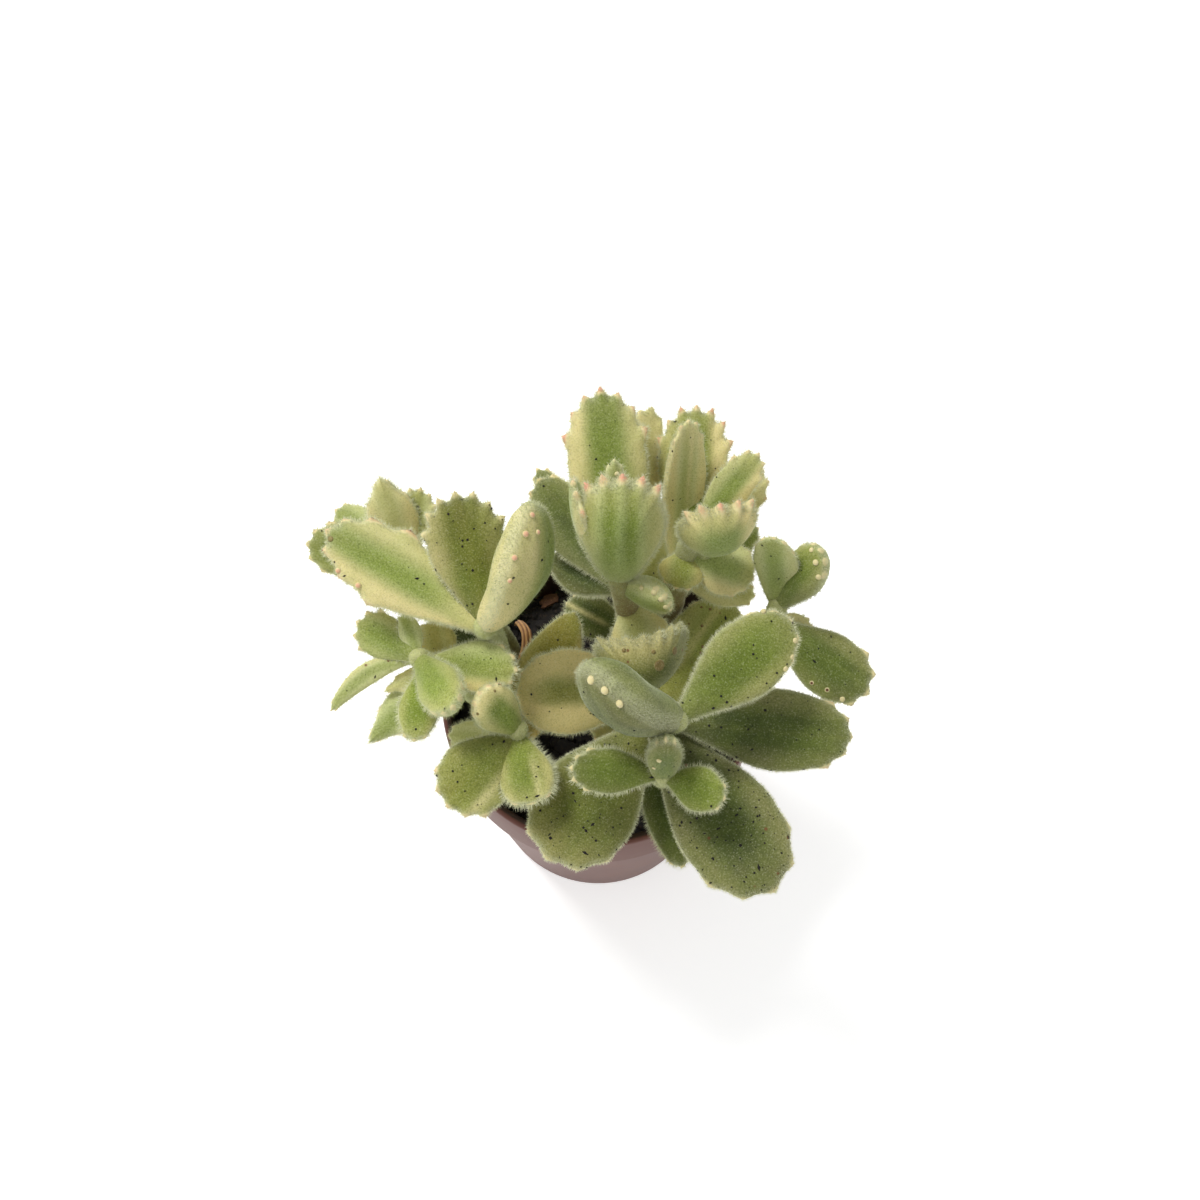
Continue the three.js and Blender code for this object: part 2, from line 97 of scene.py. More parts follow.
# How a leaf is coloured, each as it differs from the plain one, from 0 to 1: deep is dark green, gold is
# yellowed all over, pale is bleached colour and painted light, which the leaf's light value adds. left,
# right, tip and foot are pale margins that start at band across, and rich turns them from cream to gold.
# belly creams the under side, or takes off its grey when negative, and frost greys the upper side. hoar is
# the white felt, which also whitens the margins as a painted sheen, claws how pale the claws are, blush and
# burnt their pink and brown tips, rust brown spots, grit the soil grains on it and fuzz the length of its
# hairs. groove is the depth of the furrows in mm, and ridge a pale crease at ridge_at across.
PLAIN = dict(
    deep=0.4, gold=0.0, pale=0.0, left=0.15, right=0.15, tip=0.1, foot=0.15, band=0.25, rich=0.2, belly=0.0,
    frost=0.0, hoar=0.4, claws=0.9, blush=0.3, burnt=0.2, rust=0.0, grit=2, fuzz=1.0, groove=0.0, ridge=0.0,
    ridge_at=0.0,
)
LOOKS = {
    "vivid": dict(deep=0.1, left=0.25, right=0.35, tip=0.2, blush=0.1, burnt=0.0, grit=5, fuzz=0.9),
    "fresh": dict(deep=0.35, left=0.1, right=0.1, hoar=0.7, blush=0.0, burnt=0.05, fuzz=1.2),
    "hoary": dict(gold=0.1, left=0.1, right=0.1, belly=-0.45, frost=0.1, hoar=0.8, claws=0.0, blush=0.0,
                  burnt=0.0, fuzz=1.1),
    "hoary_pink": dict(left=0.75, right=0.0, foot=0.5, band=-0.2, belly=-0.3, frost=0.4, hoar=0.9,
                       claws=0.0, blush=0.9, burnt=0.15, grit=1, fuzz=1.1, groove=0.3),
    "bud": dict(deep=0.25, left=0.2, right=0.2, tip=0.2, hoar=0.8, claws=0.3, blush=0.0, burnt=0.0,
                fuzz=1.2),
    "grey": dict(deep=0.55, hoar=1.0, grit=1),
    # Dark green, partly painted shade on leaves that sit in the shade of others.
    "dark": dict(deep=0.9, hoar=0.3),
    "dark_ridge": dict(deep=0.8, hoar=0.6, fuzz=1.3, ridge=0.8),
    "deep_green": dict(deep=0.8, left=0.25, hoar=0.3, claws=0.7, blush=0.5, burnt=0.8, grit=5, fuzz=0.65),
    "deep_blue": dict(deep=0.75, left=0.25, hoar=0.5, claws=0.6, blush=0.2, burnt=0.5, grit=3, fuzz=0.65),
    "dark_speckled": dict(deep=0.9, left=0.2, right=0.2, tip=0.15, hoar=0.2, claws=0.35, burnt=0.9,
                          rust=0.35, grit=20, fuzz=0.65),
    "olive_speckled": dict(deep=0.5, gold=0.2, left=0.1, right=0.1, tip=0.25, claws=0.35, blush=0.2,
                           burnt=0.8, grit=13, fuzz=0.65),
    "olive_cream": dict(deep=0.6, gold=0.2, left=0.6, right=0.3, claws=0.45, blush=0.4, burnt=0.9, grit=9,
                        fuzz=0.8),
    "olive": dict(deep=0.5, gold=0.35, left=0.5, right=0.5, tip=0.2, blush=0.1, burnt=0.7),
    "rusty": dict(gold=0.45, left=0.2, right=0.1, rust=0.8, grit=5, fuzz=0.8, ridge=0.5, ridge_at=-0.2),
    "beaded": dict(deep=0.5, left=0.25, right=0.25, tip=0.2, hoar=0.6, blush=0.0, burnt=0.0),
    "beaded_fresh": dict(deep=0.15, left=0.3, right=0.3, tip=0.3, hoar=0.9, blush=0.0, burnt=0.0, fuzz=1.3),
    "streaked": dict(deep=0.35, left=1.2, right=0.55, foot=0.7, band=0.15, hoar=0.6, blush=0.5, burnt=0.9,
                     grit=1, groove=0.16),
    "mid_cream_left": dict(deep=0.3, left=1.3, right=0.7, foot=0.35, blush=0.85, burnt=0.25),
    "mid_cream_right": dict(deep=0.35, left=0.5, right=1.2, tip=0.3, foot=0.2, band=0.2, blush=0.7,
                            burnt=0.3),
    "grooved": dict(deep=0.3, left=0.5, right=0.4, tip=0.3, hoar=0.75, blush=1.0, burnt=0.1, grit=1,
                    fuzz=1.1, groove=0.42),
    "cream_edge": dict(deep=0.3, left=0.8, right=0.8, band=0.2, hoar=0.6, blush=0.5, burnt=0.3),
    "cream_under": dict(deep=0.25, left=1.1, right=0.5, tip=0.8, foot=0.2, rich=0.35, claws=0.8, blush=0.7,
                        burnt=0.3),
    "keeled": dict(gold=0.2, left=0.9, right=1.0, tip=0.4, blush=0.2, ridge=0.7, ridge_at=0.15),
    "vivid_cream": dict(deep=0.15, left=0.3, right=1.1, tip=0.45, band=0.2, blush=0.2, burnt=0.4),
    "yellow": dict(deep=0.35, gold=0.6, left=0.45, right=0.45, rich=0.9, rust=0.2),
    "pale_fresh": dict(deep=0.05, left=0.4, right=0.5, tip=0.2, hoar=0.9, claws=0.4, burnt=0.1, fuzz=1.3),
    "pale_fringe": dict(deep=0.2, gold=0.1, left=0.5, right=0.4, tip=0.3, hoar=0.9, fuzz=1.6, ridge=0.5,
                        ridge_at=-0.35),
    "burnt_teeth": dict(deep=0.6, left=0.2, right=0.3, tip=0.2, blush=0.2, burnt=1.0, groove=0.15),
    "pale_yellow": dict(deep=0.6, gold=0.15, left=0.2, right=0.45, frost=0.6, hoar=0.6, burnt=0.6,
                        rust=0.5),
    "yellow_brown": dict(gold=0.75, left=0.4, right=0.2, rich=0.9, burnt=0.8, rust=1.0),
    "gold_right": dict(deep=0.5, gold=0.15, left=0.1, right=1.1, rich=0.5, hoar=0.6, blush=0.1, burnt=0.5,
                       grit=5),
    "banded": dict(deep=0.35, left=0.5, right=0.7, tip=0.9, band=0.2, hoar=0.9, rust=0.15, fuzz=1.2),
    "olive_ridge": dict(deep=0.5, gold=0.3, left=0.3, right=0.1, claws=0.6, blush=0.5, burnt=0.4, grit=6,
                        fuzz=0.8, ridge=0.6, ridge_at=-0.55),
    "rusty_under": dict(deep=0.9, gold=0.35, tip=0.45, rich=0.35, belly=-0.5, hoar=0.3, claws=0.0,
                        burnt=0.6, rust=0.8),
    "golden": dict(deep=0.75, gold=0.45, left=2.2, right=1.5, tip=1.0, foot=0.3, band=0.12, rich=0.45,
                   hoar=0.2),
    "golden_point": dict(deep=0.5, gold=0.6, left=0.3, right=0.7, foot=0.7, rich=0.7, hoar=0.2),
}

# Leafy stems as in the part: foot, bend and top of each shoot, its radii at foot and top, the age at which
# its bark starts, how dark its green is, also painted shade on shaded shoots and painted light on a lit one,
# and its leaves as (place along the shoot, tip, width, turn in degrees, kind, look, how far it is lighter or
# darker than its look, partly its own tone and partly painted light and shade of where it sits, bumps). A
# bump is (place across, place along, 1 on the upper side or -1, radius, tone).
LEAFY_STEMS = {
    "front_stem": [
        dict(foot=(8, -9, 52), bend=(8, -11, 82), top=(14, -20, 101), radii=(2.8, 2.2), leaves=[
            (1.0, (-2.5, -14.5, 113), 15, -80, "arched", "hoary", -0.75,
             (0.37, 0.95, 1, 0.85, "cream"), (0.71, 0.86, 1, 0.8, "cream"), (0.91, 0.73, 1, 0.75, "cream")),
            (1.0, (35, -2.5, 106), 14, 0, "oar", "vivid", -0.5,
             (-0.65, 0.9, 1, 0.5, "cream"), (0.45, 0.93, 1, 0.55, "cream"), (0.72, 0.85, 1, 0.5, "cream"),
             (0.84, 0.77, 1, 0.55, "cream")),
            (0.7, (47.5, -18.5, 88), 15.5, 0, "paddle", "deep_green", 0),
            (0.62, (32.5, -45.5, 80), 19.5, 0, "broad", "dark_speckled", -0.1),
            (0.55, (-9.5, -39, 78), 20, 0, "broad", "olive_speckled", -0.2),
            (0.3, (16.5, -37.5, 66), 8.5, 0, "spoon", "fresh", -0.4),
            (0.45, (27, 15, 75.5), 14.5, 0, "oar", "rusty", 0.35,
             (-0.36, 0.86, 1, 0.35, "brown"), (-0.28, 0.74, 1, 0.35, "brown"), (0.28, 0.56, 1, 0.3, "brown"),
             (0.11, 0.6, 1, 0.3, "brown")),
        ]),
        dict(foot=(10, -13, 77), bend=(12, -26, 78), top=(12, -27, 91), radii=(1.9, 1.6), leaves=[
            (1.0, (-5, -26.5, 94), 8.5, 0, "paw", "fresh", -0.35),
            (1.0, (23, -32, 93), 8.5, 0, "spoon", "fresh", -0.1),
            (0.95, (12, -25, 105), 6.5, 0, "bud", "bud", -0.4,
             (-0.34, 0.71, 1, 0.5, "cream"), (-0.58, 0.48, 1, 0.4, "cream")),
        ]),
    ],
    "right_stem": [
        dict(foot=(22, -3, 52), bend=(29, -4, 73), top=(35, 9, 87), radii=(2.6, 1.9), leaves=[
            (1.0, (32.5, 14.5, 105), 9, -30, "slab", "vivid", 0.7),
            (1.0, (41.5, 13, 103), 9, -35, "plump", "beaded", 0.05,
             (0.29, 0.9, 1, 0.6, "cream"), (0.76, 0.8, 1, 0.6, "cream"), (-0.24, 0.94, 1, 0.5, "cream")),
            (0.9, (52, -7.5, 82), 12.5, 0, "broad", "deep_blue", 0,
             (0.78, 0.6, 1, 0.45, "ring"), (0.67, 0.73, 1, 0.5, "ring"), (0.62, 0.87, 1, 0.55, "cream")),
            (0.85, (42, 6.5, 82), 6, 0, "spoon", "grey", 1.8),
        ]),
    ],
    "left_stem": [
        dict(foot=(-20, 4.5, 52), bend=(-20, 6, 80), top=(-21, 0, 97), radii=(2.8, 2.2), deep=0.0, leaves=[
            (1.0, (-50.5, 16.5, 104), 14, 0, "long", "streaked", 0.5,
             (-0.13, 0.96, 1, 0.6, "brown"), (-0.74, 0.84, 1, 0.6, "pink"), (-0.8, 0.71, 1, 0.6, "pink")),
            (1.0, (-26, 19.5, 113), 14.5, 0, "fan", "olive_cream", -0.1),
            (1.0, (-11.5, 15, 118), 13.5, 65, "arched", "hoary_pink", 0.1,
             (-0.27, 0.96, 1, 0.6, "pink"), (-0.6, 0.87, 1, 0.65, "pink"), (-0.23, 0.88, 1, 0.5, "pink"),
             (-0.9, 0.73, 1, 0.6, "pink"), (-0.93, 0.58, 1, 0.5, "pink")),
            (0.6, (-31, 6, 78), 8, 0, "spoon", "dark", -1),
            (0.75, (-35, 16, 87), 9, 0, "spoon", "grey", 0),
        ]),
    ],
    "crown_stem": [
        dict(foot=(7.5, 6, 52), bend=(7.5, 7, 78), top=(4, 11, 96), radii=(2.8, 2.3), woody=-0.2, leaves=[
            (1.0, (4.5, 20.5, 118), 16.5, 180, "cup", "grooved", 0.25),
            (1.0, (0.5, 42, 112), 15, 0, "fan", "mid_cream_left", 0.2),
            (1.0, (3, 25, 116), 5.5, 0, "bud", "bud", 1,
             (0.14, 0.9, 1, 0.5, "cream"), (-0.5, 0.8, 1, 0.4, "cream")),
            (1.0, (-4.5, 21.5, 114), 11, 80, "paw", "cream_edge", 0.5),
            (0.95, (10.5, 43.5, 103), 10.5, 30, "paw", "olive", 1.6),
            (0.85, (-9, 19, 88), 9.5, 0, "spoon", "grey", -0.4),
            (0.85, (-11.5, 30, 99), 11.5, 0, "paw", "dark", 0.2),
            (0.8, (-12, 35, 94), 7, 0, "paw", "dark", 0.3),
            (0.75, (10, -0.5, 82), 12, 0, "paw", "yellow", 1.15),
            (0.9, (13.5, 4, 98), 8, 60, "plump", "beaded_fresh", 0.7,
             (-0.88, 0.62, 1, 0.5, "cream"), (-0.76, 0.82, 1, 0.6, "cream"), (-0.45, 0.92, 1, 0.55, "cream"),
             (0.0, 0.96, 1, 0.55, "cream")),
            (0.45, (-6.5, 15.5, 73), 8.5, 0, "spoon", "dark_ridge", -0.15),
            (0.5, (13, 31, 82), 11, 0, "spoon", "grey", 1.4),
        ]),
    ],
    "back_right_stem": [
        dict(foot=(13, 12, 52), bend=(14, 13, 76), top=(18, 19, 96), radii=(2.8, 2.2), woody=0.0,
             deep=0.8, leaves=[
            (0.8, (17, 35.5, 112), 9, 30, "fold", "keeled", 1.25),
            (1.0, (30, 29.5, 110), 7.5, 0, "paw", "vivid_cream", 0.55),
            (0.93, (19, 42.5, 105), 13.3, 0, "fan", "mid_cream_right", 0),
            (0.9, (31.5, 30.5, 102), 9.5, 0, "paw", "dark", 1.6),
            (0.9, (30, 13, 90), 11, 0, "oar", "vivid_cream", 0.95),
            (0.9, (15, 11, 90), 9, 0, "spoon", "yellow", 0.4),
            (0.75, (32, 27, 84), 8, 0, "spoon", "grey", 0.1),
            (0.7, (31, 13, 82), 7, 0, "spoon", "grey", 1.5),
            (0.5, (22, 33, 77), 10, 0, "spoon", "grey", 0.2),
        ]),
        dict(foot=(16.5, 18, 87), bend=(20, 18.5, 90), top=(22, 17.5, 96), radii=(1.9, 1.7), leaves=[
            (1.0, (22.5, 18.5, 110.5), 15.5, 196, "cup", "cream_under", 0.35),
        ]),
    ],
    "back_left_stem": [
        dict(foot=(-18, 11, 52), bend=(-20, 13, 74), top=(-38, 20, 86), radii=(2.5, 1.9), leaves=[
            (1.0, (-42, 30, 100), 10, 0, "point", "pale_fresh", 1.55),
            (1.0, (-34.5, 30, 95), 8, 0, "paw", "olive", 0.9),
            (1.0, (-52, 29, 88), 8, 0, "spoon", "grey", 0.7),
            (0.95, (-57.5, 22.5, 86), 11, 0, "paw", "burnt_teeth", 0.1),
            (0.6, (-36, 26, 74), 8, 0, "spoon", "grey", 0),
        ]),
    ],
    "side_left_stem": [
        dict(foot=(-21, -3, 52), bend=(-23, -3, 74), top=(-34, -3, 89), radii=(2.5, 1.9), leaves=[
            (1.0, (-46, 4, 90), 8.5, 0, "broad", "burnt_teeth", 0.35),
            (0.95, (-50.5, -12.5, 86), 4.3, 0, "sickle", "pale_yellow", 1.1),
            (1.0, (-26, -17.5, 101), 9, 0, "plump", "beaded_fresh", 0.1),
            (0.95, (-34, -20, 90), 7.8, 0, "spoon", "beaded_fresh", -0.1),
            (0.8, (-44, -17, 80), 8, 0, "point", "grey", 0.75),
            (0.8, (-32.5, 7, 84), 8, 0, "spoon", "yellow_brown", 1.4),
            (0.95, (-15, -7.5, 94), 10, 0, "paw", "gold_right", 0.5),
            (0.85, (-41, -8, 84), 4, 0, "point", "olive", 1.4),
            (1.0, (-37, 5, 92), 4.5, 0, "spoon", "hoary", 0.9),
        ]),
    ],
    "lower_left_stem": [
        dict(foot=(-16, -14, 52), bend=(-18.5, -16, 74), top=(-15, -17, 88), radii=(2.6, 2.0), leaves=[
            (1.0, (-21.5, -13.5, 98), 9, 15, "plump", "banded", 0.15,
             (0.79, 0.82, 1, 0.3, "brown"), (0.45, 0.88, 1, 0.3, "brown"), (-0.7, 0.84, 1, 0.3, "brown")),
            (0.95, (-27.5, -32, 88), 14, 0, "paw", "olive_ridge", 0.1),
            (0.95, (-12, -31.5, 88), 10.5, 0, "wedge", "pale_fringe", -0.05),
            (0.7, (-29, -14, 76), 7, 0, "spoon", "grey", 1.3),
            (0.55, (-4.5, 10, 81), 12, 0, "petal", "golden_point", -0.05),
        ]),
    ],
    "centre_stem": [
        dict(foot=(4, -2.5, 52), bend=(6, -5, 70), top=(9, -6, 86), radii=(2.8, 2.2), leaves=[
            (1.0, (8.5, -2.5, 98), 18, 190, "bowl", "rusty_under", -1,
             (0.45, 0.9, -1, 0.45, "brown"), (0.02, 0.95, -1, 0.45, "brown"),
             (-0.13, 0.9, -1, 0.45, "brown"), (-0.2, 0.76, -1, 1.1, "scar"), (-0.6, 0.75, -1, 0.8, "scar")),
            (0.8, (-15.5, -8.5, 84), 16.5, 0, "slab", "golden", 0.4),
            (0.6, (17, -5, 68), 7.5, 0, "spoon", "dark", 0),
            (0.55, (-0.5, -14, 74), 7, 0, "spoon", "grey", 1.6),
        ]),
    ],
}

# The dried leaf's middle line from the soil to its hooked end, and its strip.
DRY_LEAF_PATH = [
    (-14, 3, 45), (-14.2, 2.6, 54), (-15, 2.4, 62), (-15.4, 3.4, 68), (-14.3, 5.6, 72.5), (-14.4, 8.6, 74.5),
    (-15.8, 11.4, 72.5), (-16.6, 12.5, 68.5),
]
DRY_LEAF_HALF_WIDTH = 1.2
DRY_LEAF_HALF_THICKNESS = 0.22
DRY_LEAF_ROLL = 0.55
DRY_LEAF_RIBS = 9
DRY_LEAF_RIB_HEIGHT = 0.09
DRY_LEAF_STEPS = 60
DRY_LEAF_SIDES = 40

# ---------------------------------------------------------------- numpy helpers


def unit(vectors):
    """Each vector divided by its own length."""
    return vectors / np.linalg.norm(vectors, axis=-1, keepdims=True)


def smoothstep(start, end, x):
    """0 before start, 1 after end, and 3t^2 - 2t^3 between them."""
    t = np.clip((x - start) / (end - start), 0, 1)
    return t * t * (3 - 2 * t)


def mix(a, b, share):
    """a at share 0, b at share 1, straight between."""
    return a + (b - a) * share


def turns(count):
    """So many even angles round a circle, in radians from 0."""
    return 2 * np.pi * np.arange(count) / count


def spokes(side, other, turn):
    """Directions at the angles turn, from side towards other."""
    return side[..., None, :] * np.cos(turn)[:, None] + other[..., None, :] * np.sin(turn)[:, None]


def triangle_corners(points, triangles):
    """The places of the first, second and third corner of every triangle."""
    return (points[triangles[:, k]] for k in range(3))


def volume(points, triangles):
    """Six times the volume that the triangles close, negative if they face inwards."""
    a, b, c = triangle_corners(points - points.mean(0), triangles)
    return np.einsum("ij,ij->", a, np.cross(b, c))


def oriented(points, triangles):
    """The triangles, turned over if they face inwards."""
    return triangles if volume(points, triangles) > 0 else triangles[:, ::-1]


class Skin:
    """The points and triangles of one mesh, gathered surface by surface, with the marks that its material
    reads at each point, the way its hairs lie and its map."""

    def __init__(self):
        self.points, self.triangles, self.corners, self.ways = [], [], [], []
        self.marks = {}
        self.count = self.bump_count = 0

    def add(self, points, triangles, corners, ways, marks):
        """Adds a closed surface, with its triangles turned over if they face inwards."""
        if volume(points, triangles) < 0:
            triangles, corners = triangles[:, ::-1], corners[:, ::-1]
        self.points.append(points)
        self.triangles.append(triangles + self.count)
        self.corners.append(corners)
        self.ways.append(np.broadcast_to(ways, points.shape))
        for name in MARKS:
            self.marks.setdefault(name, []).append(np.broadcast_to(marks.get(name, 0.0), len(points)))
        self.count += len(points)

    def join(self):
        """Makes one array of each list."""
        for name in ("points", "triangles", "corners", "ways"):
            setattr(self, name, np.concatenate(getattr(self, name)))
        self.marks = {name: np.concatenate(parts).astype(np.float32) for name, parts in self.marks.items()}
        return self


# What the skin material reads at each point. grit and fuzz only steer the grains and the hairs.
MARKS = (
    "deep", "gold", "pale", "cream", "rich", "under", "rim", "claw", "blush", "burnt", "rust", "hoar",
    "ridge", "furrow", "streak", "woody", "grit", "fuzz",
)
SHADER_MARKS = MARKS[:16]


def mesh_piece(name, points, triangles, material, corners=None, marks=None, smooth=True):
    """A piece made from points in mm and triangles, in its place, that rides on the root body. corners is a
    map place for each corner of each triangle, and marks are values at the points."""
    mesh = bpy.data.meshes.new(name)
    mesh.vertices.add(len(points))
    mesh.vertices.foreach_set("co", (points * MM).astype(np.float32).ravel())
    mesh.loops.add(triangles.size)
    mesh.loops.foreach_set("vertex_index", triangles.astype(np.int32).ravel())
    mesh.polygons.add(len(triangles))
    mesh.polygons.foreach_set("loop_start", np.arange(0, triangles.size, 3, dtype=np.int32))
    mesh.polygons.foreach_set("use_smooth", np.full(len(triangles), smooth))
    mesh.update(calc_edges=True)
    if corners is not None:
        layer = mesh.uv_layers.new(name="OFBake")
        layer.data.foreach_set("uv", corners.astype(np.float32).ravel())
    for mark, values in (marks or {}).items():
        attribute = mesh.attributes.new(mark, "FLOAT", "POINT")
        attribute.data.foreach_set("value", values.astype(np.float32))
    mesh.materials.append(material)
    piece = bpy.data.objects.new(name, mesh)
    bpy.context.scene.collection.objects.link(piece)
    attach(piece, "root")
    return piece


def ringed(ring_count, around):
    """Triangles and map places of a closed surface: ring after ring of points, then the first pole and the
    last one. The map is two discs side by side, one for each half of the rings, and nothing stretches."""
    k = np.arange(around)
    following = (k + 1) % around
    low = np.arange(ring_count - 1)[:, None] * around
    a, b, c, d = low + k, low + following, low + around + following, low + around + k
    bands = np.stack([np.stack([a, b, c], -1), np.stack([a, c, d], -1)], 2).reshape(-1, 3)
    first, last = ring_count * around, ring_count * around + 1
    end = (ring_count - 1) * around
    caps = np.concatenate([
        np.stack([following, k, np.full(around, first)], -1),
        np.stack([end + k, end + following, np.full(around, last)], -1),
    ])
    half = (ring_count - 1) / 2
    turn = turns(around)

    def disc(ring, upper):
        out = np.where(upper, ring + 0.5, ring_count - 0.5 - ring) / (half + 0.5)
        x = 0.25 + 0.235 * out[..., None] * np.cos(turn) + np.where(upper, 0, 0.5)[..., None]
        return np.stack([x, 0.5 + 0.47 * out[..., None] * np.sin(turn)], -1)

    ring = np.arange(ring_count - 1)
    upper = ring < half
    near, far = disc(ring, upper), disc(ring + 1, upper)
    a, b = near, np.roll(near, -1, 1)
    d, c = far, np.roll(far, -1, 1)
    band_map = np.stack([np.stack([a, b, c], 2), np.stack([a, c, d], 2)], 2).reshape(-1, 3, 2)
    top = disc(np.array([0]), np.array([True]))[0]
    bottom = disc(np.array([ring_count - 1]), np.array([False]))[0]
    middles = [np.broadcast_to([0.25, 0.5], top.shape), np.broadcast_to([0.75, 0.5], top.shape)]
    cap_map = np.concatenate([
        np.stack([np.roll(top, -1, 0), top, middles[0]], 1),
        np.stack([bottom, np.roll(bottom, -1, 0), middles[1]], 1),
    ])
    return np.concatenate([bands, caps]), np.concatenate([band_map, cap_map])


def in_cell(corners, cell, columns):
    """A map's places squeezed into one cell of a square of cells."""
    low = np.array([cell % columns, cell // columns])
    return (low + corners) / columns


# ---------------------------------------------------------------- leaves and stems

# The rings of a leaf's face as shares of its outline, the power that closes its foot, the share of a claw
# that stands past the blade, the power by which claws fade from the margin inwards, the ripple as a share
# of the width, the furrows and streaks in radians to half a width, and a crease as a share of half a width.
RING_SIZES = np.array([0.16, 0.32, 0.46, 0.59, 0.7, 0.79, 0.865, 0.925, 0.965, 0.99])
FOOT_BLUNT = 12
TIP_CLAW_SHARE = 0.6
CLAW_FADE = 6
RIPPLE = 0.010
FURROW_PACE = 13
STREAK_PACE = 29
RIDGE_WIDTH = 0.13


def margin_angles(kind):
    """Angles round a leaf's margin in degrees, 0 at the tip: three steps on each flank of a claw, two
    between claws and a stretch of even steps down each side to the foot."""
    spread = kind["spread"]
    stops, steps = [0.0], []
    for k in range((kind["teeth"] - 1) // 2 + 1):
        if k:
            stops += [(k - CLAW_SHARE) * spread, k * spread]
            steps += [2, 3]
        stops.append((k + CLAW_SHARE) * spread)
        steps.append(3)
    stops.append(180.0)
    steps.append(14)
    spans = zip(stops, stops[1:], steps)
    right = np.concatenate([np.linspace(a, b, n, endpoint=False) for a, b, n in spans])
    return np.concatenate([-right[:0:-1], right, [180.0]])


def half_width(share, kind):
    """Half the width at a share of the length, for a full width of 2: it widens by a smoothstep and closes
    by roots at the tip and at the foot, or by a higher power at a sharp tip."""
    widening = kind["neck"] + (1 - kind["neck"]) * smoothstep(0, WIDEST_AT, share)
    closing = np.maximum(0, 1 - share ** kind["blunt"]) ** kind["sharp"]
    return widening * closing * np.sqrt(1 - (1 - share) ** FOOT_BLUNT)


